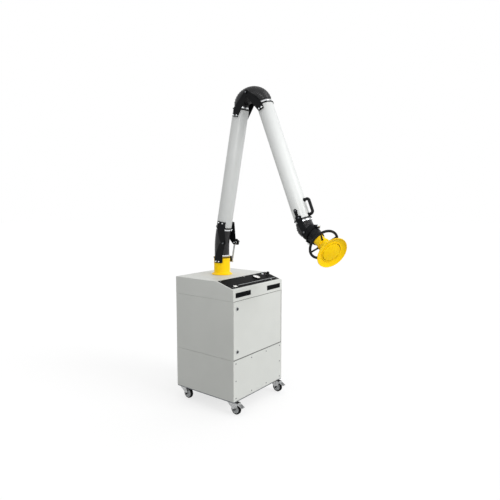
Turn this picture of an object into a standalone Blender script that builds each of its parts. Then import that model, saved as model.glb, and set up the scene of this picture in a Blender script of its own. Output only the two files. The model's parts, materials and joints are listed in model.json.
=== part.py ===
# Mobile fume extractor: a filter cabinet on casters with a jointed suction arm and a round hood.
# Metres, +Z up, front towards -Y. The origin is the middle of the cabinet's underside.
from math import atan2, cos, hypot, pi, radians, sin

import bmesh
import bpy
from mathutils import Matrix, Vector

for leftover in list(bpy.data.objects):
    bpy.data.objects.remove(leftover, do_unlink=True)

# Fits and sheet
FIT = 0.0003            # gap between pieces that touch
TURN_FIT = 0.0008       # radial gap of a turning fit between faceted round faces
SHEET = 0.002           # cabinet sheet metal
SEAM = 0.0006           # seam between the stacked shells
RIM = 0.018             # width of the folded rims behind the door and the lower panel
FINE, ROUND, SMALL, TINY = 20, 16, 12, 8   # sides of large, middle, small and tiny round pieces

# Cabinet
CABINET_WIDTH = 0.516
CABINET_DEPTH = 0.482
BASE_HEIGHT = 0.255
FILTER_HEIGHT = 0.361
STRIP_HEIGHT = 0.069
TOP_RISE = 0.041
FLAT_TOP_DEPTH = 0.349
DOOR_GAP = 0.0035
DOOR_SIDE_GAP = 0.0015
DOOR_DEPTH = 0.020
DOOR_PIVOT_INSET = 0.008
HINGE_PIN_RADIUS = 0.003
HINGE_PIN_LENGTH = 0.008
LOCK_RADIUS = 0.0115
LOCK_INSET = 0.034
LOCK_MARGIN = 0.045
CAM_LENGTH = 0.028

# Console on the slope: places are measured from the right or left side of the cabinet and up the slope
PANEL_MARGIN = 0.011
PANEL_LOWER_MARGIN = 0.017
PANEL_UPPER_MARGIN = 0.003
PANEL_THICKNESS = 0.0025
GAUGE_INSET = (0.173, 0.090)
GAUGE_RADIUS = 0.027
GAUGE_HEIGHT = 0.006
GAUGE_STEM_RADIUS = 0.020
KNOB_INSET = (0.036, 0.098)
KNOB_RADIUS = 0.011
KNOB_HEIGHT = 0.018
KNOB_STEM_RADIUS = 0.003
LAMP_INSET = (0.074, 0.114)
LAMP_RADIUS = 0.0075
BUTTON_INSET = (0.086, 0.030)
BUTTON_RADIUS = 0.005
ROCKER_INSET = (0.062, 0.036)
ROCKER_SIZE = (0.030, 0.017)
STEM_LENGTH = 0.008
OUTLET_SIZE = (0.150, 0.031)
OUTLET_MARGIN = 0.022
OUTLET_DROP = 0.035
OUTLET_DEPTH = 0.008
OUTLET_SLOTS = 4

# Inside the cabinet
CARBON_HEIGHT = 0.080
FINE_FILTER_HEIGHT = 0.180
PREFILTER_HEIGHT = 0.025
FILTER_SIDE_GAP = 0.003  # filters to the rims that they slide between
FILTER_END_GAP = 0.021
FAN_RADIUS = 0.165
FAN_HEIGHT = 0.108
FAN_EYE = 0.090
IMPELLER_RADIUS = 0.140
IMPELLER_BLADES = 8
MOTOR_RADIUS = 0.065
MOTOR_HEIGHT = 0.078
SHAFT_RADIUS = 0.008
INLET_INSET = (0.108, 0.060)
INLET_SIZE = (0.050, 0.028)
INLET_SOCKET = (0.025, 0.017)
INLET_DEPTH = 0.020
VENT_SLOTS = 5
VENT_HEIGHT = 0.050
VENT_PITCH = 0.018
VENT_LENGTH = 0.200

# Casters
CASTER_HEIGHT = 0.086
CASTER_SIDE_INSET = 0.034
CASTER_END_INSET = 0.038
CASTER_TRAIL = 0.031
CASTER_PLATE = 0.062
CASTER_PLATE_THICKNESS = 0.003
KINGPIN_RADIUS = 0.006
FORK_HEAD_RADIUS = 0.024
FORK_HEAD_HEIGHT = 0.0075
FORK_SHEET = 0.0025
FORK_REAR = 0.032       # leg's top corner behind the swivel axis
WHEEL_RADIUS = 0.034
WHEEL_WIDTH = 0.025
HUB_RADIUS = 0.0255
AXLE_RADIUS = 0.004
PEDAL_LENGTH = 0.036
PEDAL_DROP = 0.018      # pedal's tip below its pin
PEDAL_PIN_RADIUS = 0.0022

# Arm: the rest pose is the photographed one
ARM_BACK = 0.068        # arm axis behind the middle of the cabinet
TUBE_RADIUS = 0.050
TUBE_WALL = 0.003
SPIGOT_RADIUS = 0.0422
SPIGOT_WALL = 0.0022
SPIGOT_LENGTH = 0.024
HOOD_SPIGOT = 0.010
COLLAR_RADIUS = 0.0535
COLLAR_HEIGHT = 0.119
COLLAR_FOOT_RADIUS = 0.0685
COLLAR_FOOT_HEIGHT = 0.019
DUCT_RADIUS = 0.0475
DUCT_WALL = 0.0025
SHOULDER_RISE = 0.213   # shoulder pivot above the flat top
SHOULDER_OFFSET = 0.062
SHOULDER_REACH = 0.087  # pivot to tube end, along the tube
LOWER_LEAN = radians(11.2)
LOWER_LENGTH = 0.947    # shoulder pivot to elbow pivot, along the tube
ELBOW_OFFSET = 0.065
LOWER_REACH = 0.095     # elbow pivot to the lower tube's end
UPPER_REACH = 0.110     # elbow pivot to the upper tube's end
UPPER_LEAN = radians(-21.75)
UPPER_LENGTH = 0.854    # elbow pivot to the tube's hood end, along the tube
HOOD_OFFSET = 0.016
HOOD_REACH = 0.077
HOOD_TILT = radians(-60.5)
SWING_REACH = 0.034
HOOD_SWING = radians(21.8)

# Arm brackets
BRACKET_SHEET = 0.004
BRACKET_CLEAR = 0.0003
SHOULDER_TAB = 0.045    # length of each tab on its tube, from the tube's end
COLLAR_TAB = 0.038
LOWER_TAB = 0.054
UPPER_TAB = 0.037
HOOD_TAB = 0.024
TAB_OUTER = 0.015       # tab edge beyond the tube's axis, away from the pivot
TAB_INNER = 0.022       # tab edge before the tube's axis, towards the pivot
SHOULDER_INNER = 0.038
SHOULDER_HEEL = 0.036   # plate behind the shoulder pivot
BOSS_RADIUS = 0.015
PIVOT_RADIUS = 0.006
PIVOT_FIT = 0.0003
PIVOT_HEAD_RADIUS = 0.009
PIVOT_HEAD = 0.005
BAND_THICKNESS = 0.0025  # clamp band round the tube
BAND_WIDTH = 0.006
BAND_INSET = 0.0015     # band from the tube's end
LEVER_WIDTH = 0.016
LEVER_LENGTH = 0.036
FRICTION_KNOB_RADIUS = 0.022
FRICTION_KNOB_WIDTH = 0.026
STRAP_WIDTH = 0.013
STRAP_THICKNESS = 0.003
STRAP_END_RADIUS = 0.012
STRAP_EYE_RADIUS = 0.010
STRAP_EYE_INSET = 0.005  # eye above the tab's lower edge

# Hoses
HOSE_SIDES = 14
HOSE_BORE = 0.0436
HOSE_VALLEY = 0.0465
HOSE_CREST = 0.0492
SLEEVE_RADIUS = 0.0488
HOSE_CUFF = 0.024
HOOD_CUFF = 0.012
ELBOW_RIBS = 20
HOOD_RIBS = 9
ELBOW_HANDLE = 0.072
SHOULDER_HANDLE = 0.060
HOOD_HANDLE = 0.026

# Pull handle
HANDLE_RADIUS = 0.009
HANDLE_LENGTH = 0.090
HANDLE_STAND = 0.029
HANDLE_BACK = 0.063     # handle middle before the tube's hood end
HANDLE_CORNER = 0.012

# Hood
GIMBAL_RADIUS = 0.0505
GIMBAL_BORE = 0.0464
GIMBAL_SHOULDER = 0.006
BALL_RADIUS = 0.0456
BALL_WALL = 0.0036
NECK_RADIUS = 0.040
NECK_LENGTH = 0.050
SWING_PIN_RADIUS = 0.005
SWING_HEAD_RADIUS = 0.011
SWING_HEAD = 0.010
LUG_RADIUS = 0.013
LUG_SHEET = 0.006
BELL_NECK_RADIUS = 0.033
BELL_WALL = 0.0022
BELL_NECK_LENGTH = 0.062
BELL_LENGTH = 0.145
BELL_RADIUS = 0.0947
DISH_RADIUS = 0.0615
DISH_DEPTH = 0.010
GRID_THICKNESS = 0.003
GRID_LEDGE = 0.004
GRID_LAND = 0.001       # grid between its ledge and its slots
GRID_GAP = 0.003        # slot width
GRID_BRIDGES = 4
GRID_BRIDGE = 0.010
RING_RADIUS = 0.088
RING_TUBE = 0.0075
RING_PLACE = 0.0565     # ring behind the neck's front face, towards the bell
RING_HUB_WALL = 0.005
RING_HUB_LENGTH = 0.010
RING_SPOKES = 4
SPOKE_RADIUS = 0.005

# Heights and planes that follow from the sizes above
FRONT = -CABINET_DEPTH / 2
REAR = CABINET_DEPTH / 2
SIDE = CABINET_WIDTH / 2
FILTER_TOP = BASE_HEIGHT + FILTER_HEIGHT
FRONT_TOP = FILTER_TOP + STRIP_HEIGHT
TOP = FRONT_TOP + TOP_RISE
SLOPE_END = REAR - FLAT_TOP_DEPTH
SLOPE_LENGTH = hypot(SLOPE_END - FRONT, TOP_RISE)
SLOPE_ANGLE = atan2(TOP_RISE, SLOPE_END - FRONT)
DOOR_BOTTOM = BASE_HEIGHT + DOOR_GAP
DOOR_TOP = FILTER_TOP - DOOR_GAP
DOOR_EDGE = SIDE - SHEET - DOOR_SIDE_GAP
DOOR_BACK = FRONT + DOOR_DEPTH
AXLE_Z = WHEEL_RADIUS - CASTER_HEIGHT
CASTER_X = SIDE - CASTER_SIDE_INSET
CASTER_Y = REAR - CASTER_END_INSET
FILTER_WIDTH = 2 * (SIDE - SHEET - RIM - FILTER_SIDE_GAP)
FILTER_DEPTH = REAR - DOOR_BACK - 2 * FILTER_END_GAP
OUTLET_CENTRE = SIDE - OUTLET_MARGIN - OUTLET_SIZE[0] / 2
INLET_PLACE = (SIDE - INLET_INSET[0], INLET_INSET[1])
GAUGE_PLACE = (SIDE - GAUGE_INSET[0], GAUGE_INSET[1])
KNOB_PLACE = (SIDE - KNOB_INSET[0], KNOB_INSET[1])
LAMP_PLACE = (SIDE - LAMP_INSET[0], LAMP_INSET[1])
BUTTON_PLACE = (SIDE - BUTTON_INSET[0], BUTTON_INSET[1])
ROCKER_PLACE = (ROCKER_INSET[0] - SIDE, ROCKER_INSET[1])
INNER_FACE = TUBE_RADIUS + BRACKET_CLEAR + FIT
OUTER_FACE = INNER_FACE + BRACKET_SHEET + FIT
PIVOT_END = OUTER_FACE + BRACKET_SHEET + FIT
STRAP_FACE = PIVOT_END + STRAP_THICKNESS


# Materials
def srgb(channel):
    return channel / 12.92 if channel <= 0.04045 else ((channel + 0.055) / 1.055) ** 2.4


def material(name, colour, roughness, metallic=0.0):
    made = bpy.data.materials.new(name)
    made.use_nodes = True
    shader = made.node_tree.nodes["Principled BSDF"]
    rgb = [srgb(int(colour[i:i + 2], 16) / 255) for i in (0, 2, 4)]
    shader.inputs["Base Color"].default_value = (*rgb, 1.0)
    shader.inputs["Roughness"].default_value = roughness
    shader.inputs["Metallic"].default_value = metallic
    return made


PAINT = material("light_grey_paint", "d9dbd7", 0.45)
TUBE_PAINT = material("white_tube_paint", "e4e6e4", 0.35)
BLACK = material("black_plastic", "242527", 0.5)
RUBBER = material("black_rubber", "1a1a1b", 0.7)
YELLOW = material("yellow_plastic", "f7cf1b", 0.4)
ZINC = material("zinc_plated_steel", "c4c7c8", 0.3, 1.0)
GREY = material("grey_plastic", "9c9fa0", 0.5)
WHITE = material("white_plastic", "f1f1ec", 0.4)
RED = material("red_pointer", "b02a1c", 0.5)
MEDIA = material("filter_media", "e6e2d3", 0.9)
CARBON = material("carbon_cassette", "3a3b3c", 0.8)


# Building blocks
def frame(name, location, rotation=(0, 0, 0), parent=None):
    empty = bpy.data.objects.new(name, None)
    empty.location = location
    empty.rotation_euler = rotation
    empty.parent = parent
    bpy.context.scene.collection.objects.link(empty)
    return empty


def piece(name, shape, finish, parent=None, location=(0, 0, 0), rotation=(0, 0, 0), smooth=True):
    bmesh.ops.recalc_face_normals(shape, faces=shape.faces)
    mesh = bpy.data.meshes.new(name)
    shape.to_mesh(mesh)
    shape.free()
    mesh.materials.append(finish)
    if smooth:
        mesh.shade_smooth()
        mesh.set_sharp_from_angle(angle=radians(35))
    made = bpy.data.objects.new(name, mesh)
    made.parent = parent
    made.location = location
    made.rotation_euler = rotation
    bpy.context.scene.collection.objects.link(made)
    return made


def combine(target, shape, operation):
    tool = piece(f"{target.name}_{operation.lower()}_tool", shape, target.data.materials[0], target.parent,
                 target.location, target.rotation_euler)
    tool.hide_render = True
    tool.display_type = "WIRE"
    step = target.modifiers.new(operation.lower(), "BOOLEAN")
    step.operation = operation
    step.solver = "EXACT"
    step.object = tool


def box(shape, low, high):
    corners = [shape.verts.new((x, y, z)) for z in (low[2], high[2]) for y in (low[1], high[1])
               for x in (low[0], high[0])]
    for face in ((0, 1, 3, 2), (4, 5, 7, 6), (0, 1, 5, 4), (2, 3, 7, 6), (0, 2, 6, 4), (1, 3, 7, 5)):
        shape.faces.new([corners[i] for i in face])


def turned(shape, profile, sides, place=Matrix.Identity(4)):
    # A closed outline of (radius, height) points turned about Z
    rings = []
    for radius, height in profile:
        if radius == 0:
            rings.append([shape.verts.new(place @ Vector((0, 0, height)))] * sides)
        else:
            angles = [2 * pi * i / sides for i in range(sides)]
            rings.append([shape.verts.new(place @ Vector((radius * cos(a), radius * sin(a), height)))
                          for a in angles])
    for first, second in zip(rings, rings[1:] + rings[:1]):
        for i in range(sides):
            j = (i + 1) % sides
            corners = []
            for vert in (first[i], first[j], second[j], second[i]):
                if vert not in corners:
                    corners.append(vert)
            if len(corners) > 2:
                shape.faces.new(corners)


def disc(shape, radius, low, high, sides, place=Matrix.Identity(4)):
    turned(shape, [(0, low), (radius, low), (radius, high), (0, high)], sides, place)


def prism(shape, outline, low, high, axes="xyz"):
    # An outline in the first two named axes, drawn out along the third
    order = ["xyz".index(a) for a in axes]
    layers = []
    for depth in (low, high):
        layer = []
        for u, v in outline:
            point = [0, 0, 0]
            for slot, value in zip(order, (u, v, depth)):
                point[slot] = value
            layer.append(shape.verts.new(point))
        layers.append(layer)
    count = len(outline)
    shape.faces.new(layers[0])
    shape.faces.new(layers[1])
    for i in range(count):
        j = (i + 1) % count
        shape.faces.new((layers[0][i], layers[0][j], layers[1][j], layers[1][i]))


def circle(centre, radius, count=SMALL, start=0.0, turn=2 * pi):
    steps = count if abs(turn) >= 2 * pi else count - 1
    return [(centre[0] + radius * cos(start + turn * i / steps),
             centre[1] + radius * sin(start + turn * i / steps)) for i in range(count)]


def hull(points):
    ordered = sorted(set((round(u, 7), round(v, 7)) for u, v in points))

    def half(path):
        chain = []
        for p in path:
            while len(chain) > 1:
                a, b = chain[-2], chain[-1]
                if (b[0] - a[0]) * (p[1] - a[1]) - (b[1] - a[1]) * (p[0] - a[0]) > 1e-12:
                    break
                chain.pop()
            chain.append(p)
        return chain[:-1]

    return half(ordered) + half(reversed(ordered))


def along(axis):
    # Turns the Z axis of a turned shape onto X or Y
    return Matrix.Rotation(pi / 2, 4, "Y") if axis == "x" else Matrix.Rotation(-pi / 2, 4, "X")


def sweep(shape, path, outer, bore=None, sides=HOSE_SIDES):
    # A tube along (point, radius) stations in the YZ plane, solid or with a plain bore
    def ring(index, radius):
        before = path[max(index - 1, 0)]
        after = path[min(index + 1, len(path) - 1)]
        forward = (after - before).normalized()
        side = Vector((1, 0, 0))
        up = forward.cross(side)
        return [shape.verts.new(path[index] + radius * (cos(a) * side + sin(a) * up))
                for a in (2 * pi * i / sides for i in range(sides))]

    def skin(rings):
        for first, second in zip(rings, rings[1:]):
            for i in range(sides):
                j = (i + 1) % sides
                shape.faces.new((first[i], first[j], second[j], second[i]))

    shell = [ring(i, radius) for i, radius in enumerate(outer)]
    skin(shell)
    if bore is None:
        shape.faces.new(shell[0])
        shape.faces.new(shell[-1])
        return
    last = len(path) - 1
    stations = sorted({0, last - 1, last}.union(range(1, last, 3)))
    core = [ring(i, bore) for i in stations]
    skin(core)
    for end in (0, -1):
        for i in range(sides):
            j = (i + 1) % sides
            shape.faces.new((shell[end][i], shell[end][j], core[end][j], core[end][i]))


def bezier(start, leave, end, arrive, handle, count):
    # Points at even steps of length on a curve that leaves and arrives along the given directions
    knots = (start, start + handle * leave, end - handle * arrive, end)
    dense = []
    for i in range(401):
        t = i / 400
        k = (1 - t)
        dense.append(k ** 3 * knots[0] + 3 * k * k * t * knots[1] + 3 * k * t * t * knots[2]
                     + t ** 3 * knots[3])
    lengths = [0.0]
    for a, b in zip(dense, dense[1:]):
        lengths.append(lengths[-1] + (b - a).length)
    points = []
    spot = 0
    for i in range(count):
        goal = lengths[-1] * i / (count - 1)
        while spot < 399 and lengths[spot + 1] < goal:
            spot += 1
        share = (goal - lengths[spot]) / (lengths[spot + 1] - lengths[spot])
        points.append(dense[spot].lerp(dense[spot + 1], share))
    return points


def hose(name, start, leave, end, arrive, handle, ribs, parent, cuff=HOSE_CUFF):
    # A ribbed hose with a plain cuff at each end; no ribs gives a smooth sleeve
    first = start + cuff * leave
    last = end - cuff * arrive
    stations = 2 * ribs + 1 if ribs else 7
    middle = bezier(first, leave, last, arrive, handle, stations)
    path = [start] + middle + [end]
    if ribs:
        outer = [HOSE_VALLEY if i % 2 == 0 else HOSE_CREST for i in range(stations)]
    else:
        outer = [SLEEVE_RADIUS] * stations
    shape = bmesh.new()
    sweep(shape, path, [HOSE_VALLEY] + outer + [HOSE_VALLEY], HOSE_BORE)
    return piece(name, shape, RUBBER, parent)


# Cabinet shells
def base_shell():
    top = BASE_HEIGHT - SEAM
    shape = bmesh.new()
    box(shape, (-SIDE, FRONT, 0), (SIDE, REAR, top))
    made = piece("base_shell", shape, PAINT, smooth=False)
    panel_back = FRONT + SHEET + FIT
    rim_back = panel_back + SHEET
    cut = bmesh.new()
    box(cut, (-SIDE + SHEET, FRONT - SHEET, SHEET), (SIDE - SHEET, panel_back, top + SHEET))
    combine(made, cut, "DIFFERENCE")
    cut = bmesh.new()
    box(cut, (-SIDE + SHEET, rim_back, SHEET), (SIDE - SHEET, REAR - SHEET, top - SHEET))
    combine(made, cut, "DIFFERENCE")
    cut = bmesh.new()
    opening = SIDE - SHEET - RIM
    box(cut, (-opening, FRONT, SHEET + RIM), (opening, rim_back + SHEET, top - SHEET - RIM))
    disc(cut, FAN_EYE, top - 2 * SHEET, top + SHEET, FINE)
    disc(cut, HINGE_PIN_RADIUS + TURN_FIT, top - 2 * SHEET, top + SHEET, SMALL, door_axis())
    combine(made, cut, "DIFFERENCE")
    cut = bmesh.new()
    x, z = INLET_PLACE
    half_w, half_h = INLET_SIZE[0] / 2 - SHEET, INLET_SIZE[1] / 2 - SHEET
    box(cut, (x - half_w, REAR - 2 * SHEET, z - half_h), (x + half_w, REAR + SHEET, z + half_h))
    for i in range(VENT_SLOTS):
        slot = VENT_HEIGHT + VENT_PITCH * i
        box(cut, (-VENT_LENGTH, REAR - 2 * SHEET, slot), (0, REAR + SHEET, slot + VENT_PITCH / 3))
    combine(made, cut, "DIFFERENCE")


def door_axis():
    return Matrix.Translation((DOOR_EDGE - DOOR_PIVOT_INSET, FRONT + DOOR_PIVOT_INSET, 0))


def lower_front_panel():
    shape = bmesh.new()
    edge = SIDE - SHEET - FIT
    box(shape, (-edge, FRONT, SHEET + FIT), (edge, FRONT + SHEET, BASE_HEIGHT - DOOR_GAP))
    piece("lower_front_panel", shape, PAINT, smooth=False)


def filter_shell():
    low, high = BASE_HEIGHT, FILTER_TOP - SEAM
    front = DOOR_BACK + FIT
    shape = bmesh.new()
    inner, lip = SIDE - SHEET, SIDE - SHEET - RIM
    outline = [(-SIDE, FRONT), (-inner, FRONT), (-inner, front), (-lip, front), (-lip, front + SHEET),
               (-inner, front + SHEET), (-inner, REAR - SHEET), (inner, REAR - SHEET),
               (inner, front + SHEET),
               (lip, front + SHEET), (lip, front), (inner, front), (inner, FRONT), (SIDE, FRONT),
               (SIDE, REAR),
               (-SIDE, REAR)]
    prism(shape, outline, low, high)
    piece("filter_shell", shape, PAINT, smooth=False)


def top_shell():
    outline = [(FRONT, FILTER_TOP), (REAR, FILTER_TOP), (REAR, TOP), (SLOPE_END, TOP), (FRONT, FRONT_TOP)]
    shape = bmesh.new()
    prism(shape, outline, -SIDE, SIDE, "yzx")
    made = piece("top_shell", shape, PAINT, smooth=False)
    rise = SHEET / cos(SLOPE_ANGLE)
    slope = TOP_RISE / (SLOPE_END - FRONT)
    inside = [(FRONT + SHEET, FILTER_TOP + SHEET), (REAR - SHEET, FILTER_TOP + SHEET),
              (REAR - SHEET, TOP - SHEET),
              (SLOPE_END + (rise - SHEET) / slope, TOP - SHEET),
              (FRONT + SHEET, FRONT_TOP + slope * SHEET - rise)]
    cut = bmesh.new()
    prism(cut, inside, -SIDE + SHEET, SIDE - SHEET, "yzx")
    combine(made, cut, "DIFFERENCE")
    cut = bmesh.new()
    disc(cut, DUCT_RADIUS + TURN_FIT, FILTER_TOP - SHEET, TOP + SHEET, FINE,
         Matrix.Translation((0, ARM_BACK, 0)))
    disc(cut, HINGE_PIN_RADIUS + TURN_FIT, FILTER_TOP - SHEET, FILTER_TOP + 2 * SHEET, SMALL, door_axis())
    half_w, half_h = OUTLET_SIZE[0] / 2, OUTLET_SIZE[1] / 2
    z = FRONT_TOP - OUTLET_DROP
    for x in (-OUTLET_CENTRE, OUTLET_CENTRE):
        box(cut, (x - half_w, FRONT - SHEET, z - half_h), (x + half_w, FRONT + 2 * SHEET, z + half_h))
    combine(made, cut, "DIFFERENCE")


def outlet_grille(name, x):
    shape, cut = bmesh.new(), bmesh.new()
    half_w, half_h = OUTLET_SIZE[0] / 2 - FIT, OUTLET_SIZE[1] / 2 - FIT
    z = FRONT_TOP - OUTLET_DROP
    pitch = 2 * half_h / (OUTLET_SLOTS + 1)
    box(shape, (x - half_w, FRONT, z - half_h), (x + half_w, FRONT + OUTLET_DEPTH, z + half_h))
    for i in range(OUTLET_SLOTS):
        slot = z + pitch * (i - (OUTLET_SLOTS - 1) / 2)
        box(cut, (x - half_w + pitch / 2, FRONT - SHEET, slot - pitch / 4),
            (x + half_w - pitch / 2, FRONT + OUTLET_DEPTH + SHEET, slot + pitch / 4))
    combine(piece(name, shape, BLACK, smooth=False), cut, "DIFFERENCE")


def mains_inlet():
    x, z = INLET_PLACE
    shape = bmesh.new()
    half_w, half_h = INLET_SIZE[0] / 2, INLET_SIZE[1] / 2
    box(shape, (x - half_w, REAR + FIT, z - half_h), (x + half_w, REAR + 2 * SHEET, z + half_h))
    made = piece("mains_inlet", shape, BLACK, smooth=False)
    more = bmesh.new()
    inset = SHEET + FIT
    box(more, (x - half_w + inset, REAR - INLET_DEPTH, z - half_h + inset),
        (x + half_w - inset, REAR + SHEET, z + half_h - inset))
    combine(made, more, "UNION")
    cut = bmesh.new()
    box(cut, (x - INLET_SOCKET[0] / 2, REAR - INLET_DEPTH + SHEET, z - INLET_SOCKET[1] / 2),
        (x + INLET_SOCKET[0] / 2, REAR + 3 * SHEET, z + INLET_SOCKET[1] / 2))
    combine(made, cut, "DIFFERENCE")


# Filters and fan
def filters():
    middle = (DOOR_BACK + REAR) / 2
    floor = BASE_HEIGHT
    for name, height, finish in (("carbon_filter", CARBON_HEIGHT, CARBON),
                                 ("fine_filter", FINE_FILTER_HEIGHT, MEDIA),
                                 ("prefilter", PREFILTER_HEIGHT, MEDIA)):
        shape = bmesh.new()
        box(shape, (-FILTER_WIDTH / 2, middle - FILTER_DEPTH / 2, floor),
            (FILTER_WIDTH / 2, middle + FILTER_DEPTH / 2, floor + height))
        piece(name, shape, finish, smooth=False)
        floor += height + FIT


def fan():
    motor_top = SHEET + FIT + MOTOR_HEIGHT
    low = motor_top
    high = low + FAN_HEIGHT
    depth = MOTOR_HEIGHT / 2
    hole = SHAFT_RADIUS + TURN_FIT
    shape = bmesh.new()
    profile = [(0, SHEET + FIT), (MOTOR_RADIUS, SHEET + FIT), (MOTOR_RADIUS, low), (FAN_RADIUS, low),
               (FAN_RADIUS, high), (FAN_EYE, high), (FAN_EYE, high - SHEET),
               (FAN_RADIUS - SHEET, high - SHEET),
               (FAN_RADIUS - SHEET, low + SHEET), (hole, low + SHEET), (hole, motor_top - depth),
               (0, motor_top - depth)]
    turned(shape, profile, FINE)
    made = piece("fan_housing", shape, ZINC)
    cut = bmesh.new()
    box(cut, (-FAN_EYE, FAN_RADIUS / 2, low + 2 * SHEET), (0, 2 * FAN_RADIUS, high - 2 * SHEET))
    combine(made, cut, "DIFFERENCE")
    spin = frame("fan_axis", (0, 0, 0))
    plate = low + 3 * SHEET
    shape = bmesh.new()
    turned(shape, [(0, motor_top - depth + FIT), (SHAFT_RADIUS, motor_top - depth + FIT),
                   (SHAFT_RADIUS, plate),
                   (IMPELLER_RADIUS, plate), (IMPELLER_RADIUS, plate + SHEET),
                   (3 * SHAFT_RADIUS, plate + SHEET),
                   (2 * SHAFT_RADIUS, high - 4 * SHEET), (0, high - 4 * SHEET)], FINE)
    made = piece("fan_impeller", shape, BLACK, spin)
    blades = bmesh.new()
    root, tip = IMPELLER_RADIUS * 0.62, IMPELLER_RADIUS * 0.98
    for i in range(IMPELLER_BLADES):
        angle = 2 * pi * i / IMPELLER_BLADES
        outline = [(root, 0), (tip, -IMPELLER_RADIUS / 4), (tip, -IMPELLER_RADIUS / 4 + SHEET),
                   (root, SHEET)]
        turnedline = [(u * cos(angle) - v * sin(angle), u * sin(angle) + v * cos(angle)) for u, v in outline]
        prism(blades, turnedline, plate + SHEET / 2, high - 4 * SHEET)
    combine(made, blades, "UNION")


# Door
def door():
    axis = frame("door_axis", door_axis().translation)
    left = -2 * DOOR_EDGE + DOOR_PIVOT_INSET
    front, back = -DOOR_PIVOT_INSET, DOOR_DEPTH - DOOR_PIVOT_INSET
    shape = bmesh.new()
    outline = [(left, front)] + circle((0, 0), DOOR_PIVOT_INSET, 7, -pi / 2, pi / 2)
    # The back corner is cut so that it swings clear of the rim behind it
    outline += [(DOOR_PIVOT_INSET, back * 0.7), (DOOR_PIVOT_INSET * 0.6, back * 0.9), (0, back),
                (left, back)]
    prism(shape, outline, DOOR_BOTTOM, DOOR_TOP)
    made = piece("door", shape, PAINT, axis, smooth=False)
    cut = bmesh.new()
    box(cut, (left + SHEET, front + SHEET, DOOR_BOTTOM + SHEET),
        (-2 * DOOR_PIVOT_INSET, back + SHEET, DOOR_TOP - SHEET))
    combine(made, cut, "DIFFERENCE")
    cut = bmesh.new()
    for z in lock_heights():
        disc(cut, LOCK_RADIUS + TURN_FIT, front - SHEET, front + 2 * SHEET, ROUND,
             Matrix.Translation((left + LOCK_INSET, 0, z)) @ along("y"))
    combine(made, cut, "DIFFERENCE")
    pins = bmesh.new()
    for end, tip in ((DOOR_BOTTOM, -1), (DOOR_TOP, 1)):
        disc(pins, HINGE_PIN_RADIUS, *sorted((end - tip * SHEET, end + tip * HINGE_PIN_LENGTH)), SMALL)
    combine(made, pins, "UNION")
    for name, z in zip(("door_lock_lower", "door_lock_upper"), lock_heights()):
        lock(name, axis, (left + LOCK_INSET, 0, z), front)


def lock_heights():
    return (DOOR_BOTTOM + LOCK_MARGIN, DOOR_TOP - LOCK_MARGIN)


def lock(name, axis, place, front):
    # Quarter-turn lock: the cam points up when open
    spin = frame(f"{name}_axis", place, (0, 0, 0), axis)
    cam = DOOR_DEPTH - DOOR_PIVOT_INSET + SHEET + 2 * SHEET
    shape = bmesh.new()
    turned(shape, [(0, front - 1.5 * SHEET), (LOCK_RADIUS, front - 1.5 * SHEET),
                   (LOCK_RADIUS, front + 3 * SHEET), (LOCK_RADIUS * 0.7, front + 3 * SHEET),
                   (LOCK_RADIUS * 0.7, cam + SHEET / 2), (0, cam + SHEET / 2)], ROUND, along("y"))
    made = piece(name, shape, ZINC, spin)
    more = bmesh.new()
    outline = hull(circle((0, 0), LOCK_RADIUS * 0.8) + circle((0, CAM_LENGTH - LOCK_RADIUS / 2),
                                                              LOCK_RADIUS / 2))
    prism(more, outline, cam, cam + SHEET * 1.2, "xzy")
    combine(made, more, "UNION")


# Console
def console():
    slope = frame("slope", (0, FRONT, FRONT_TOP), (SLOPE_ANGLE, 0, 0))
    face = FIT + PANEL_THICKNESS
    shape = bmesh.new()
    edge = SIDE - PANEL_MARGIN
    box(shape, (-edge, PANEL_LOWER_MARGIN, FIT), (edge, SLOPE_LENGTH - PANEL_UPPER_MARGIN, face))
    panel = piece("control_panel", shape, BLACK, slope, smooth=False)
    cut = bmesh.new()
    low, high = -2 * SHEET, face + SHEET
    for (x, y), radius in ((GAUGE_PLACE, GAUGE_STEM_RADIUS), (KNOB_PLACE, KNOB_STEM_RADIUS),
                           (LAMP_PLACE, LAMP_RADIUS * 0.7), (BUTTON_PLACE, BUTTON_RADIUS)):
        disc(cut, radius + TURN_FIT, low, high, ROUND, Matrix.Translation((x, y, 0)))
    half_w, half_h = ROCKER_SIZE[0] / 2 + TURN_FIT, ROCKER_SIZE[1] / 2 + TURN_FIT
    x, y = ROCKER_PLACE
    box(cut, (x - half_w, y - half_h, low), (x + half_w, y + half_h, high))
    combine(panel, cut, "DIFFERENCE")
    gauge(slope, face)
    dial_knob(slope, face)
    lamp_and_button(slope, face)
    rocker(slope, face)
    # The same openings go through the sheet below
    cut = bmesh.new()
    for (x, y), radius in ((GAUGE_PLACE, GAUGE_STEM_RADIUS), (KNOB_PLACE, KNOB_STEM_RADIUS),
                           (LAMP_PLACE, LAMP_RADIUS * 0.7), (BUTTON_PLACE, BUTTON_RADIUS)):
        disc(cut, radius + TURN_FIT, -3 * SHEET, SHEET, ROUND,
             slope_matrix() @ Matrix.Translation((x, y, 0)))
    tray = bmesh.new()
    box(tray, (ROCKER_PLACE[0] - half_w, ROCKER_PLACE[1] - half_h, -3 * SHEET),
        (ROCKER_PLACE[0] + half_w, ROCKER_PLACE[1] + half_h, SHEET))
    tray.transform(slope_matrix())
    held = bpy.data.meshes.new("rocker_opening")
    tray.to_mesh(held)
    tray.free()
    cut.from_mesh(held)
    combine(bpy.data.objects["top_shell"], cut, "DIFFERENCE")


def slope_matrix():
    return Matrix.Translation((0, FRONT, FRONT_TOP)) @ Matrix.Rotation(SLOPE_ANGLE, 4, "X")


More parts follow.
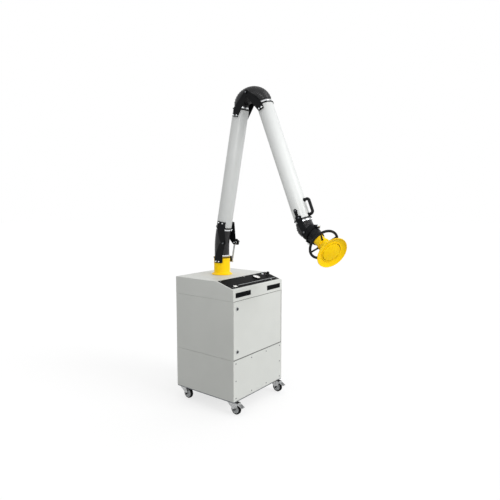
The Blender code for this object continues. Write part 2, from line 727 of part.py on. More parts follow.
def gauge(slope, face):
    place = frame("gauge_axis", (*GAUGE_PLACE, 0), (0, 0, 0), slope)
    seat = face + FIT
    lip = GAUGE_RADIUS - 1.5 * SHEET
    dial_face = seat + 1.5 * SHEET
    shape = bmesh.new()
    turned(shape, [(0, -STEM_LENGTH), (GAUGE_STEM_RADIUS, -STEM_LENGTH), (GAUGE_STEM_RADIUS, seat),
                   (GAUGE_RADIUS, seat), (GAUGE_RADIUS, seat + GAUGE_HEIGHT), (lip, seat + GAUGE_HEIGHT),
                   (lip, dial_face), (0, dial_face)], FINE)
    piece("gauge_case", shape, BLACK, place)
    shape = bmesh.new()
    outline = hull(circle((0, 0), SHEET) + [(-lip * 0.7, -lip * 0.35)])
    prism(shape, outline, dial_face + FIT, dial_face + FIT + SHEET / 2)
    piece("gauge_needle", shape, RED, place, smooth=False)


def dial_knob(slope, face):
    place = frame("knob_axis", (*KNOB_PLACE, 0), (0, 0, 0), slope)
    seat = face + FIT
    shape = bmesh.new()
    turned(shape, [(0, -STEM_LENGTH), (KNOB_STEM_RADIUS, -STEM_LENGTH), (KNOB_STEM_RADIUS, seat),
                   (KNOB_RADIUS, seat),
                   (KNOB_RADIUS * 0.85, seat + KNOB_HEIGHT), (0, seat + KNOB_HEIGHT)], ROUND)
    piece("speed_knob", shape, BLACK, place)


def lamp_and_button(slope, face):
    seat = face + FIT
    stem = LAMP_RADIUS * 0.7
    shape = bmesh.new()
    turned(shape, [(0, -STEM_LENGTH), (stem, -STEM_LENGTH), (stem, seat), (LAMP_RADIUS, seat),
                   (LAMP_RADIUS, seat + SHEET), (stem, seat + 2 * SHEET), (0, seat + 2.4 * SHEET)], ROUND)
    piece("signal_lamp", shape, WHITE, slope, (*LAMP_PLACE, 0))
    shape = bmesh.new()
    disc(shape, BUTTON_RADIUS, -STEM_LENGTH, face + 1.5 * SHEET, SMALL)
    piece("push_button", shape, GREY, slope, (*BUTTON_PLACE, 0))


def rocker(slope, face):
    place = frame("rocker_axis", (*ROCKER_PLACE, face - SHEET), (0, 0, 0), slope)
    half_w, half_h = ROCKER_SIZE[0] / 2, ROCKER_SIZE[1] / 2
    shape = bmesh.new()
    outline = [(-half_w, -SHEET), (half_w, -SHEET), (half_w, 1.4 * SHEET), (half_w * 0.1, 2 * SHEET),
               (-half_w, 2.6 * SHEET)]
    prism(shape, outline, -half_h, half_h, "xzy")
    piece("power_rocker", shape, WHITE, place, smooth=False)


# Casters
def casters():
    for mark, sx, sy, braked in (("fl", -1, -1, True), ("fr", 1, -1, True), ("rl", -1, 1, False),
                                 ("rr", 1, 1, False)):
        caster_plate(mark, sx * CASTER_X, sy * CASTER_Y)
        caster(mark, sx * CASTER_X, sy * CASTER_Y, braked)


def caster_plate(mark, x, y):
    half = CASTER_PLATE / 2
    low = -FIT - CASTER_PLATE_THICKNESS
    shape = bmesh.new()
    box(shape, (-half, -half, low), (half, half, -FIT))
    plate = piece(f"caster_plate_{mark}", shape, ZINC, location=(x, y, 0), smooth=False)
    pin = bmesh.new()
    end = low - FIT - FORK_HEAD_HEIGHT - FIT
    turned(pin, [(0, low / 2), (KINGPIN_RADIUS, low / 2), (KINGPIN_RADIUS, end), (KINGPIN_RADIUS * 1.5, end),
                 (KINGPIN_RADIUS * 1.5, end - SHEET), (0, end - SHEET)], TINY)
    combine(plate, pin, "UNION")


def caster(mark, x, y, braked):
    swivel = frame(f"swivel_{mark}", (x, y, 0))
    head_top = -FIT - CASTER_PLATE_THICKNESS - FIT
    head_low = head_top - FORK_HEAD_HEIGHT
    shape = bmesh.new()
    bore = KINGPIN_RADIUS + TURN_FIT
    turned(shape, [(bore, head_low), (FORK_HEAD_RADIUS, head_low), (FORK_HEAD_RADIUS, head_top),
                   (bore, head_top)],
           SMALL)
    fork = piece(f"caster_fork_{mark}", shape, ZINC, swivel)
    leg_low = WHEEL_WIDTH / 2 + SHEET
    pedal = (-CASTER_TRAIL - 0.55 * WHEEL_RADIUS, head_low - PEDAL_PIN_RADIUS - 1.5 * SHEET)
    corners = [(-FORK_HEAD_RADIUS * 0.7, head_low + FORK_HEAD_HEIGHT / 3),
               (FORK_REAR, head_low + FORK_HEAD_HEIGHT / 3), (FORK_REAR, head_low - SHEET)]
    corners += circle((-CASTER_TRAIL, AXLE_Z), 2.2 * AXLE_RADIUS, TINY)
    if braked:
        corners += circle(pedal, 2.4 * PEDAL_PIN_RADIUS, TINY)
    legs = bmesh.new()
    for side in (-1, 1):
        prism(legs, hull(corners), side * leg_low, side * (leg_low + FORK_SHEET), "yzx")
    combine(fork, legs, "UNION")
    axle = bmesh.new()
    end = leg_low + FORK_SHEET + SHEET
    disc(axle, AXLE_RADIUS, -end, end, TINY, Matrix.Translation((0, -CASTER_TRAIL, AXLE_Z)) @ along("x"))
    combine(fork, axle, "UNION")
    spin = frame(f"wheel_{mark}", (0, -CASTER_TRAIL, AXLE_Z), (0, 0, 0), swivel)
    half = WHEEL_WIDTH / 2
    bore = AXLE_RADIUS + TURN_FIT
    shape = bmesh.new()
    turned(shape, [(bore, -half), (2.2 * AXLE_RADIUS, -half), (HUB_RADIUS, -half * 0.7),
                   (HUB_RADIUS, half * 0.7),
                   (2.2 * AXLE_RADIUS, half), (bore, half)], SMALL, along("x"))
    piece(f"caster_hub_{mark}", shape, GREY, spin)
    shape = bmesh.new()
    grip = HUB_RADIUS + FIT
    turned(shape, [(grip, -half * 0.85), (WHEEL_RADIUS - SHEET, -half * 0.85), (WHEEL_RADIUS, -half * 0.5),
                   (WHEEL_RADIUS, half * 0.5), (WHEEL_RADIUS - SHEET, half * 0.85), (grip, half * 0.85)],
           SMALL, along("x"))
    piece(f"caster_tyre_{mark}", shape, RUBBER, spin)
    if braked:
        cut = bmesh.new()
        disc(cut, PEDAL_PIN_RADIUS + 2 * FIT, -2 * end, 2 * end, TINY,
             Matrix.Translation((0, *pedal)) @ along("x"))
        combine(fork, cut, "DIFFERENCE")
        brake_pedal(mark, swivel, pedal, leg_low)


def brake_pedal(mark, swivel, place, leg_low):
    axis = frame(f"pedal_axis_{mark}", (0, *place), (0, 0, 0), swivel)
    half = leg_low - 2 * FIT
    barrel = 2 * PEDAL_PIN_RADIUS
    shape = bmesh.new()
    outline = hull(circle((0, 0), barrel, TINY) + [(-PEDAL_LENGTH, barrel * 0.5 - PEDAL_DROP),
                                                   (-PEDAL_LENGTH, -barrel * 0.3 - PEDAL_DROP)])
    prism(shape, outline, -half, half, "yzx")
    made = piece(f"brake_pedal_{mark}", shape, ZINC, axis, smooth=False)
    pin = bmesh.new()
    end = leg_low + FORK_SHEET - FIT
    disc(pin, PEDAL_PIN_RADIUS, -end, end, TINY, along("x"))
    combine(made, pin, "UNION")


# Arm
def tube_profile(radius, wall, length, low_spigot, high_spigot):
    # Turned outline from height 0 to length, with a hose spigot of the given length beyond each end
    bore = SPIGOT_RADIUS - SPIGOT_WALL
    outer = [(bore, -low_spigot), (SPIGOT_RADIUS, -low_spigot), (SPIGOT_RADIUS, 0), (radius, 0),
             (radius, length),
             (SPIGOT_RADIUS, length), (SPIGOT_RADIUS, length + high_spigot), (bore, length + high_spigot)]
    inside = [(bore, length - wall), (radius - wall, length - wall), (radius - wall, wall), (bore, wall)]
    return outer + inside


def bracket(name, parent, pivot, toward, offset, reach, tab, layer, saddle, pins=(), lever=0,
            inner=TAB_INNER,
            heel=0.0, bare=0):
    # A pair of side plates from a pivot boss to a clamp on a tube. The tube lies at pivot + offset along Y
    # and runs along toward (+1 up, -1 down). A pin of 1 has a head, and a pin of 2 has a spacer and ends in
    # the strap. No pins makes holes. A lever is a strap beyond the clamp, whose band then goes round the
    # back only. The side called bare has its tab alone.
    y0, z0 = pivot
    axis = y0 + offset
    away = 1 if offset > 0 else -1
    edges = sorted((axis + away * TAB_OUTER, axis - away * inner))
    near, far = sorted((z0 + toward * reach, z0 + toward * (reach + tab)))
    boss = circle((y0, z0), BOSS_RADIUS, SMALL) + [(y0 + away * heel, z0 + toward * BOSS_RADIUS / 2)]
    corners = [(y, z) for y in edges for z in (near, far)]
    plates, pads, clamp, extras = bmesh.new(), bmesh.new(), bmesh.new(), bmesh.new()
    root = layer + BRACKET_SHEET / 2
    for side in (-1, 1):
        outline = hull(corners if side == bare else corners + boss)
        prism(plates, outline, side * layer, side * (layer + BRACKET_SHEET), "yzx")
        saddle_pad(pads, side, axis, edges, near, far, saddle + FIT, root)
    made = piece(name, plates, BLACK, parent, smooth=False)
    combine(made, pads, "UNION")
    low, high = sorted((z0 + toward * (reach + BAND_INSET), z0 + toward * (reach + BAND_INSET + BAND_WIDTH)))
    band = saddle + BAND_THICKNESS
    if lever:
        half = FINE // 2 + 1
        arc = circle((0, axis), saddle, half, 0, pi) + circle((0, axis), band, half, pi, -pi)
        prism(clamp, arc, low, high)
    else:
        turned(clamp, [(saddle, low), (band, low), (band, high), (saddle, high)], FINE,
               Matrix.Translation((0, axis, 0)))
    combine(made, clamp, "UNION")
    for pin in pins:
        if abs(pin) == 1:
            profile = [(0, root), (PIVOT_RADIUS, root), (PIVOT_RADIUS, PIVOT_END),
                       (PIVOT_HEAD_RADIUS, PIVOT_END),
                       (PIVOT_HEAD_RADIUS, PIVOT_END + PIVOT_HEAD)]
        else:
            spacer = PIVOT_END - FIT
            profile = [(0, root), (PIVOT_HEAD_RADIUS, root), (PIVOT_HEAD_RADIUS, spacer),
                       (PIVOT_RADIUS, spacer),
                       (PIVOT_RADIUS, STRAP_FACE)]
        profile.append((0, profile[-1][1]))
        turn = Matrix.Rotation((1 if pin > 0 else -1) * pi / 2, 4, "Y")
        turned(extras, profile, SMALL, Matrix.Translation((0, y0, z0)) @ turn)
    if lever:
        tip = far if toward > 0 else near
        for side in (-1, 1):
            strap = hull(circle((axis, tip + toward * lever), LEVER_WIDTH * 0.7, TINY)
                         + [(axis - LEVER_WIDTH / 2, tip - toward * LEVER_WIDTH),
                            (axis + LEVER_WIDTH / 2, tip - toward * LEVER_WIDTH)])
            prism(extras, strap, side * (layer - FIT), side * (layer + BRACKET_SHEET * 0.8), "yzx")
    if extras.verts:
        combine(made, extras, "UNION")
    if not pins:
        holes = bmesh.new()
        disc(holes, PIVOT_RADIUS + PIVOT_FIT, -2 * PIVOT_END, 2 * PIVOT_END, SMALL,
             Matrix.Translation((0, y0, z0)) @ along("x"))
        combine(made, holes, "DIFFERENCE")


def saddle_pad(shape, side, axis, edges, low, high, radius, face):
    # Curved pad between a tube and a flat plate at the given face
    steps = 7
    ys = [edges[0] + (edges[1] - edges[0]) * i / steps - axis for i in range(steps + 1)]
    inner = [((radius * radius - y * y) ** 0.5, y) for y in ys]
    outer = [(face, ys[-1]), (face, ys[0])]
    prism(shape, [(side * u, axis + v) for u, v in inner + outer], low, high)


def arm_base():
    swivel = frame("arm_swivel", (0, ARM_BACK, TOP))
    shape = bmesh.new()
    low, high = TOP - SHEET - FIT - SHEET, TOP + COLLAR_HEIGHT * 0.8
    turned(shape, [(DUCT_RADIUS - DUCT_WALL, FILTER_TOP - SHEET), (DUCT_RADIUS, FILTER_TOP - SHEET),
                   (DUCT_RADIUS, low), (COLLAR_RADIUS + RIM, low), (COLLAR_RADIUS + RIM, low + SHEET),
                   (DUCT_RADIUS, low + SHEET), (DUCT_RADIUS, high), (DUCT_RADIUS - DUCT_WALL, high)], FINE)
    piece("inlet_duct", shape, ZINC, location=(0, ARM_BACK, 0))
    shape = bmesh.new()
    bore, neck = DUCT_RADIUS + TURN_FIT, SPIGOT_RADIUS - SPIGOT_WALL
    foot = COLLAR_FOOT_HEIGHT
    turned(shape, [(bore, FIT), (COLLAR_FOOT_RADIUS, FIT), (COLLAR_FOOT_RADIUS, foot * 0.25),
                   (COLLAR_RADIUS + foot * 0.25, foot * 0.6), (COLLAR_RADIUS, foot),
                   (COLLAR_RADIUS, COLLAR_HEIGHT),
                   (SPIGOT_RADIUS, COLLAR_HEIGHT), (SPIGOT_RADIUS, COLLAR_HEIGHT + SPIGOT_LENGTH),
                   (neck, COLLAR_HEIGHT + SPIGOT_LENGTH), (neck, COLLAR_HEIGHT - 2 * TUBE_WALL),
                   (bore, COLLAR_HEIGHT - 2 * TUBE_WALL)], FINE)
    piece("swivel_collar", shape, YELLOW, swivel)
    reach = SHOULDER_RISE - COLLAR_HEIGHT
    pivot = (-SHOULDER_OFFSET, SHOULDER_RISE)
    bracket("shoulder_bracket", swivel, pivot, -1, SHOULDER_OFFSET, reach, COLLAR_TAB, OUTER_FACE,
            COLLAR_RADIUS + FIT, inner=SHOULDER_INNER, heel=SHOULDER_HEEL, bare=1)
    brace_strap(swivel, pivot, (-SHOULDER_INNER, SHOULDER_RISE - reach - COLLAR_TAB + STRAP_EYE_INSET))
    knob = frame("shoulder_knob_axis", (0, -SHOULDER_OFFSET, SHOULDER_RISE), (0, 0, 0), swivel)
    shape = bmesh.new()
    low = STRAP_FACE + FIT
    high = low + FRICTION_KNOB_WIDTH
    turned(shape, [(0, low), (FRICTION_KNOB_RADIUS * 0.45, low),
                   (FRICTION_KNOB_RADIUS * 0.5, low + 2 * SHEET),
                   (FRICTION_KNOB_RADIUS, low + 3.5 * SHEET), (FRICTION_KNOB_RADIUS, high - 2 * SHEET),
                   (FRICTION_KNOB_RADIUS * 0.8, high), (0, high)], ROUND, along("x"))
    piece("shoulder_knob", shape, BLACK, knob)
    return swivel


def brace_strap(swivel, pivot, eye):
    # Flat strap on the far side, from the collar's tab to the shoulder pivot
    top, low = Vector(pivot), Vector(eye)
    across = (top - low).orthogonal().normalized() * STRAP_WIDTH / 2
    shape, ends, hole = bmesh.new(), bmesh.new(), bmesh.new()
    prism(shape, hull([tuple(p) for p in (top + across, top - across, low + across, low - across)]),
          PIVOT_END,
          STRAP_FACE, "yzx")
    made = piece("brace_strap", shape, ZINC, swivel, smooth=False)
    for centre, radius in ((pivot, STRAP_END_RADIUS), (eye, STRAP_EYE_RADIUS)):
        prism(ends, circle(centre, radius, SMALL), PIVOT_END, STRAP_FACE, "yzx")
    combine(made, ends, "UNION")
    disc(hole, PIVOT_RADIUS + PIVOT_FIT, PIVOT_END - BRACKET_SHEET, STRAP_FACE + BRACKET_SHEET, SMALL,
         Matrix.Translation((0, *pivot)) @ along("x"))
    combine(made, hole, "DIFFERENCE")


def lower_arm(swivel):
    shoulder = frame("shoulder", (0, -SHOULDER_OFFSET, SHOULDER_RISE), (LOWER_LEAN, 0, 0), swivel)
    length = LOWER_LENGTH - SHOULDER_REACH - LOWER_REACH
    shape = bmesh.new()
    turned(shape, tube_profile(TUBE_RADIUS, TUBE_WALL, length, SPIGOT_LENGTH, SPIGOT_LENGTH), FINE,
           Matrix.Translation((0, SHOULDER_OFFSET, SHOULDER_REACH)))
    piece("lower_tube", shape, TUBE_PAINT, shoulder)
    elbow_y = SHOULDER_OFFSET - ELBOW_OFFSET
    bracket("lower_arm_shoulder_bracket", shoulder, (0, 0), 1, SHOULDER_OFFSET, SHOULDER_REACH, SHOULDER_TAB,
            INNER_FACE, TUBE_RADIUS + FIT, pins=(-1, 2), inner=SHOULDER_INNER, heel=SHOULDER_HEEL)
    bracket("lower_arm_elbow_bracket", shoulder, (elbow_y, LOWER_LENGTH), -1, ELBOW_OFFSET, LOWER_REACH,
            LOWER_TAB,
            INNER_FACE, TUBE_RADIUS + FIT, pins=(-1, 1))
    turn = Matrix.Rotation(LOWER_LEAN, 3, "X")
    away = Matrix.Translation((0, -SHOULDER_OFFSET, SHOULDER_RISE)) @ turn.to_4x4()
    up = Vector((0, 0, 1))
    hose("shoulder_hose", Vector((0, 0, COLLAR_HEIGHT + FIT)), up,
         away @ Vector((0, SHOULDER_OFFSET, SHOULDER_REACH - FIT)), turn @ up, SHOULDER_HANDLE, 0, swivel)
    return shoulder


def upper_arm(shoulder):
    bend = UPPER_LEAN - LOWER_LEAN
    place = Vector((0, SHOULDER_OFFSET - ELBOW_OFFSET, LOWER_LENGTH))
    elbow = frame("elbow", place, (bend, 0, 0), shoulder)
    length = UPPER_LENGTH - UPPER_REACH
    shape = bmesh.new()
    turned(shape, tube_profile(TUBE_RADIUS, TUBE_WALL, length, HOOD_SPIGOT, SPIGOT_LENGTH), FINE,
           Matrix.Translation((0, -ELBOW_OFFSET, -UPPER_LENGTH)))
    piece("upper_tube", shape, TUBE_PAINT, elbow)
    bracket("upper_arm_elbow_bracket", elbow, (0, 0), -1, -ELBOW_OFFSET, UPPER_REACH, UPPER_TAB, OUTER_FACE,
            TUBE_RADIUS + FIT)
    bracket("upper_arm_hood_bracket", elbow, (-ELBOW_OFFSET - HOOD_OFFSET, -UPPER_LENGTH - HOOD_REACH), 1,
            HOOD_OFFSET, HOOD_REACH, HOOD_TAB, INNER_FACE, TUBE_RADIUS + FIT, pins=(-1, 1),
            lever=LEVER_LENGTH)
    turn = Matrix.Rotation(bend, 3, "X")
    here = Matrix.Translation(place) @ turn.to_4x4()
    up = Vector((0, 0, 1))
    hose("elbow_hose", Vector((0, SHOULDER_OFFSET, LOWER_LENGTH - LOWER_REACH + FIT)), up,
         here @ Vector((0, -ELBOW_OFFSET, -UPPER_REACH + FIT)), turn @ -up, ELBOW_HANDLE, ELBOW_RIBS,
         shoulder)
    pull_handle(elbow)
    return elbow


def pull_handle(elbow):
    low = -UPPER_LENGTH + HANDLE_BACK - HANDLE_LENGTH / 2
    high = low + HANDLE_LENGTH
    foot = -ELBOW_OFFSET - TUBE_RADIUS - FIT
    grip = foot - HANDLE_STAND
    corner = HANDLE_CORNER
    path = [(foot, low)]
    path += circle((grip + corner, low + corner), corner, 4, -pi / 2, -pi / 2)
    path += circle((grip + corner, high - corner), corner, 4, pi, -pi / 2)
    path += [(foot, high)]
    shape = bmesh.new()
    sweep(shape, [Vector((0, y, z)) for y, z in path], [HANDLE_RADIUS] * len(path), sides=TINY)
    piece("pull_handle", shape, BLACK, elbow)


def gimbal(elbow):
    bend = HOOD_TILT - UPPER_LEAN
    place = Vector((0, -ELBOW_OFFSET - HOOD_OFFSET, -UPPER_LENGTH - HOOD_REACH))
    tilt = frame("hood_tilt", place, (bend, 0, 0), elbow)
    top = GIMBAL_SHOULDER
    low = -SWING_REACH + SWING_PIN_RADIUS + 2 * SHEET
    bore = SPIGOT_RADIUS - SPIGOT_WALL
    shape = bmesh.new()
    turned(shape, [(bore, top + HOOD_SPIGOT), (bore, top - 2 * SHEET), (GIMBAL_BORE, top - 2 * SHEET),
                   (GIMBAL_BORE, low), (GIMBAL_RADIUS, low), (GIMBAL_RADIUS, top), (SPIGOT_RADIUS, top),
                   (SPIGOT_RADIUS, top + HOOD_SPIGOT)], FINE)
    made = piece("gimbal_collar", shape, BLACK, tilt)
    ears = bmesh.new()
    pad_low, pad_high = low, -BOSS_RADIUS - 2 * FIT
    hole = PIVOT_RADIUS + PIVOT_FIT
    for side in (-1, 1):
        outline = hull(circle((0, 0), BOSS_RADIUS, SMALL) + [(-BOSS_RADIUS, low), (BOSS_RADIUS, low)])
        prism(ears, outline, side * OUTER_FACE, side * (OUTER_FACE + BRACKET_SHEET), "yzx")
    combine(made, ears, "UNION")
    pads = bmesh.new()
    reach = (GIMBAL_RADIUS + GIMBAL_BORE) / 2 * cos(pi / FINE)
    half = BOSS_RADIUS * 0.7
    for side in (-1, 1):
        x = sorted((side * reach * 0.95, side * (OUTER_FACE + BRACKET_SHEET / 2)))
        box(pads, (x[0], -half, pad_low), (x[1], half, pad_high))
        y = sorted((side * reach * 0.98, side * (GIMBAL_RADIUS + LUG_SHEET)))
        box(pads, (-LUG_RADIUS, y[0], low), (LUG_RADIUS, y[1], low + LUG_RADIUS))
    combine(made, pads, "UNION")
    lugs = bmesh.new()
    for side in (-1, 1):
        outline = hull(circle((0, -SWING_REACH), LUG_RADIUS, SMALL)
                       + [(-LUG_RADIUS, low + LUG_RADIUS / 2), (LUG_RADIUS, low + LUG_RADIUS / 2)])
        y = sorted((side * (GIMBAL_RADIUS + FIT), side * (GIMBAL_RADIUS + LUG_SHEET)))
        prism(lugs, outline, y[0], y[1], "xzy")
    combine(made, lugs, "UNION")
    holes = bmesh.new()
    disc(holes, hole, -2 * PIVOT_END, 2 * PIVOT_END, SMALL, along("x"))
    swing_hole = SWING_PIN_RADIUS + PIVOT_FIT
    disc(holes, swing_hole, -2 * PIVOT_END, 2 * PIVOT_END, SMALL,
         Matrix.Translation((0, 0, -SWING_REACH)) @ along("y"))
    disc(holes, GIMBAL_BORE, low - 2 * LUG_RADIUS, top - 2 * SHEET, FINE)
    combine(made, holes, "DIFFERENCE")
    turn = Matrix.Rotation(bend, 3, "X")
    here = Matrix.Translation(place) @ turn.to_4x4()
    down = Vector((0, 0, -1))
    hose("hood_hose", Vector((0, -ELBOW_OFFSET, -UPPER_LENGTH - FIT)), down,
         here @ Vector((0, 0, top + FIT)), turn @ down, HOOD_HANDLE, HOOD_RIBS, elbow, HOOD_CUFF)
    return tilt


def hood(tilt):
    swing = frame("hood_swing", (0, 0, -SWING_REACH), (0, HOOD_SWING, 0), tilt)
    inside = NECK_RADIUS - BALL_WALL
    top_angle, low_angle = radians(29), radians(-27)
    arc = circle((0, 0), BALL_RADIUS, 6, top_angle, low_angle - top_angle)
    shape = bmesh.new()
    turned(shape, [(inside, BALL_RADIUS * sin(top_angle))] + arc
           + [(NECK_RADIUS, BALL_RADIUS * sin(low_angle) - SHEET), (NECK_RADIUS, -NECK_LENGTH),
              (inside, -NECK_LENGTH)],
           FINE)
    neck = piece("hood_neck", shape, BLACK, swing)
    pins = bmesh.new()
    seat = GIMBAL_RADIUS + LUG_SHEET + FIT
    for side in (-1, 1):
        profile = [(0, (inside + BALL_RADIUS) / 2), (SWING_PIN_RADIUS, (inside + BALL_RADIUS) / 2),
                   (SWING_PIN_RADIUS, seat), (SWING_HEAD_RADIUS, seat),
                   (SWING_HEAD_RADIUS, seat + SWING_HEAD),
                   (0, seat + SWING_HEAD)]
        turned(pins, profile, SMALL, Matrix.Rotation(-side * pi / 2, 4, "X"))
    combine(neck, pins, "UNION")
    start = -NECK_LENGTH - FIT
    front = start - BELL_LENGTH
    throat = start - BELL_NECK_LENGTH
    wall = BELL_WALL
    r = BELL_NECK_RADIUS
    ledge = front + DISH_DEPTH
    shape = bmesh.new()
    turned(shape, [(r - wall, start), (inside - FIT, start), (inside - FIT, start - 2 * SHEET),
                   (r, start - 3 * SHEET),
                   (r, throat), (r * 1.25, throat - (throat - ledge) * 0.45),
                   (DISH_RADIUS * 0.86, ledge + 3 * SHEET),
                   (DISH_RADIUS + wall, ledge), (BELL_RADIUS - SHEET, front + 1.5 * SHEET),
                   (BELL_RADIUS, front + SHEET),
                   (BELL_RADIUS, front), (BELL_RADIUS - wall, front), (DISH_RADIUS, ledge - wall * 0.4),
                   (DISH_RADIUS, ledge + GRID_THICKNESS * 0.2),
                   (DISH_RADIUS - GRID_LEDGE, ledge + GRID_THICKNESS * 0.2),
                   (DISH_RADIUS * 0.86 - wall * 1.4, ledge + 2.5 * SHEET),
                   (r * 1.25 - wall, throat - (throat - ledge) * 0.45), (r - wall, throat)], FINE)
    piece("hood_bell", shape, YELLOW, swing)
    inlet_grid(swing, ledge)
    grip_ring(swing, start)


def inlet_grid(swing, ledge):
    # Baffle in the bottom of the dish, which draws air through a narrow slot round its edge
    face = ledge + GRID_THICKNESS * 0.2 - FIT
    shape = bmesh.new()
    disc(shape, DISH_RADIUS - FIT * 2, face - GRID_THICKNESS, face, FINE)
    made = piece("inlet_grid", shape, YELLOW, swing, smooth=False)
    cut = bmesh.new()
    far = DISH_RADIUS - GRID_LEDGE - GRID_LAND
    near = far - GRID_GAP
    bridge = GRID_BRIDGE / near
    span = 2 * pi / GRID_BRIDGES - bridge
    for i in range(GRID_BRIDGES):
        angle = 2 * pi * i / GRID_BRIDGES + bridge / 2
        outline = circle((0, 0), far, SMALL, angle, span) + circle((0, 0), near, SMALL, angle + span, -span)
        prism(cut, outline, face - 2 * GRID_THICKNESS, face + GRID_THICKNESS)
    combine(made, cut, "DIFFERENCE")


def grip_ring(swing, start):
    level = start - RING_PLACE
    hub = BELL_NECK_RADIUS + FIT
    half = RING_HUB_LENGTH / 2
    shape = bmesh.new()
    turned(shape, [(hub, level - half), (hub + RING_HUB_WALL, level - half),
                   (hub + RING_HUB_WALL, level + half),
                   (hub, level + half)], FINE)
    made = piece("grip_ring", shape, BLACK, swing)
    more = bmesh.new()
    turned(more, circle((RING_RADIUS, level), RING_TUBE, TINY), FINE)
    combine(made, more, "UNION")
    spokes = bmesh.new()
    for i in range(RING_SPOKES):
        turn = Matrix.Rotation(2 * pi * (i + 0.5) / RING_SPOKES, 4, "Z")
        disc(spokes, SPOKE_RADIUS, hub + RING_HUB_WALL / 2, RING_RADIUS, 6,
             Matrix.Translation((0, 0, level)) @ turn @ along("x"))
    combine(made, spokes, "UNION")


base_shell()
lower_front_panel()
filter_shell()
top_shell()
outlet_grille("outlet_grille_left", -OUTLET_CENTRE)
outlet_grille("outlet_grille_right", OUTLET_CENTRE)
mains_inlet()
filters()
fan()
door()
console()
casters()
arm = arm_base()
shoulder_frame = lower_arm(arm)
elbow_frame = upper_arm(shoulder_frame)
tilt_frame = gimbal(elbow_frame)
hood(tilt_frame)
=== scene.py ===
# Mobile fume extractor: the finish of every surface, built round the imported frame.
# Metres, +Z up, front towards -Y. Arm and hood pieces take their places from the frame's joints.
import json
from math import cos, pi, radians, sin

import bmesh
import bpy
import numpy as np
from mathutils import Matrix, Vector

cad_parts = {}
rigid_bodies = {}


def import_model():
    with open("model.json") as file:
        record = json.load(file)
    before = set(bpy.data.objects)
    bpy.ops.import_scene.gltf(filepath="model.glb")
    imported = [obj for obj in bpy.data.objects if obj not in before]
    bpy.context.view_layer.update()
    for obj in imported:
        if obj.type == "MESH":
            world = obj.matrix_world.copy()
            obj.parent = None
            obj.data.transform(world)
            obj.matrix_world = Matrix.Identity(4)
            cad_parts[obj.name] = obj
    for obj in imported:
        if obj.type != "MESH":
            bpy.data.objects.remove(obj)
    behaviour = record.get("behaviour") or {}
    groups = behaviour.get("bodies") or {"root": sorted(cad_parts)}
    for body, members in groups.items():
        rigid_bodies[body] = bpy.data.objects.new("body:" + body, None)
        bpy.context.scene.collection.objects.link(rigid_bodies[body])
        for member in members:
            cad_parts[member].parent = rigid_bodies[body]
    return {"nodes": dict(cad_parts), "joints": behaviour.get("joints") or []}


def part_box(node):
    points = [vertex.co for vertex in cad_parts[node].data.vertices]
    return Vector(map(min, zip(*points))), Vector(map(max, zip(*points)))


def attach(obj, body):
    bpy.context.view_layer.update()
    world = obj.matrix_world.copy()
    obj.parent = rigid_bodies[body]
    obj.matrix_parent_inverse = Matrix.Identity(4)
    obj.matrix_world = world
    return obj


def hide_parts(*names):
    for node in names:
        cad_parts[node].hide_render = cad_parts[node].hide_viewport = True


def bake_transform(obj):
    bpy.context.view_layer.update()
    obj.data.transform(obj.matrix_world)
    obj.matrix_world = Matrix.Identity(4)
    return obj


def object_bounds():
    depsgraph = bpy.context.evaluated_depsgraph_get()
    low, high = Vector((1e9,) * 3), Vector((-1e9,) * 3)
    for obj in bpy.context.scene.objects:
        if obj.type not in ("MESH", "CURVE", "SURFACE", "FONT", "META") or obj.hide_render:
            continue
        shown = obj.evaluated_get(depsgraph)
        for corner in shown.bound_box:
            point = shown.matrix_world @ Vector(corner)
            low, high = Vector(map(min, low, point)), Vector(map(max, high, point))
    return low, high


for leftover in list(bpy.data.objects):
    bpy.data.objects.remove(leftover, do_unlink=True)

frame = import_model()
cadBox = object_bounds()
joints = {joint["name"]: joint for joint in frame["joints"]}
sideways = Vector((1, 0, 0))
upwards = Vector((0, 0, 1))
hairline = 0.0003       # left between pieces that meet


# Places read from the frame
def jointPlace(name):
    return Vector(joints[name]["pos_m"])


def jointAxis(name):
    return Vector(joints[name]["axis"])


def roundAxis(node, towards):
    # Both ends of a turned node's axis, the second one on the side of a point
    points = np.unique(np.round([v.co for v in frame["nodes"][node].data.vertices], 5), axis=0)
    middle = points.mean(0)
    spread, axes = np.linalg.eigh(np.cov((points - middle).T))
    odd = 2 if spread[2] - spread[1] > spread[1] - spread[0] else 0
    direction = axes[:, odd]
    if (np.array(towards) - middle) @ direction < 0:
        direction = -direction
    along = (points - middle) @ direction
    return Vector(middle + along.min() * direction), Vector(middle + along.max() * direction)


def axisFrame(origin, direction, side=sideways):
    z = direction.normalized()
    y = z.cross(side).normalized()
    x = y.cross(z)
    made = Matrix((x, y, z)).transposed().to_4x4()
    made.translation = origin
    return made


def shift(x=0.0, y=0.0, z=0.0):
    return Matrix.Translation((x, y, z))


def turn(degrees, axis):
    return Matrix.Rotation(radians(degrees), 4, axis)


# Camera and stage: the photographed view, a pale floor, a broad light in front and a softbox on the arm
camera = dict(place=(-2.354, -1.971, 1.193), azimuth=-52.55, elevation=5.62, lens=33.65, sensor=36.0)
frontLight = dict(strength=1.25, source=(0.15, -0.88, 0.45), spread=30.0)
softbox = dict(watts=1.7, place=(-2.05, -1.92, 1.62), aim=(0.0, -0.45, 1.36), width=0.8, spread=36.0)
studio = dict(sky=0.90, skySide=(0.18, -0.237, 0.0), floor="a0a09f", floorSeen="fdfdfd", floorGlow=0.70,
    reach=30.0, drop=0.0005)
white = (1, 1, 1, 1)


def hexToLinear(code):
    channels = [int(code[i:i + 2], 16) / 255 for i in (0, 2, 4)]
    return [c / 12.92 if c <= 0.04045 else ((c + 0.055) / 1.055) ** 2.4 for c in channels] + [1.0]


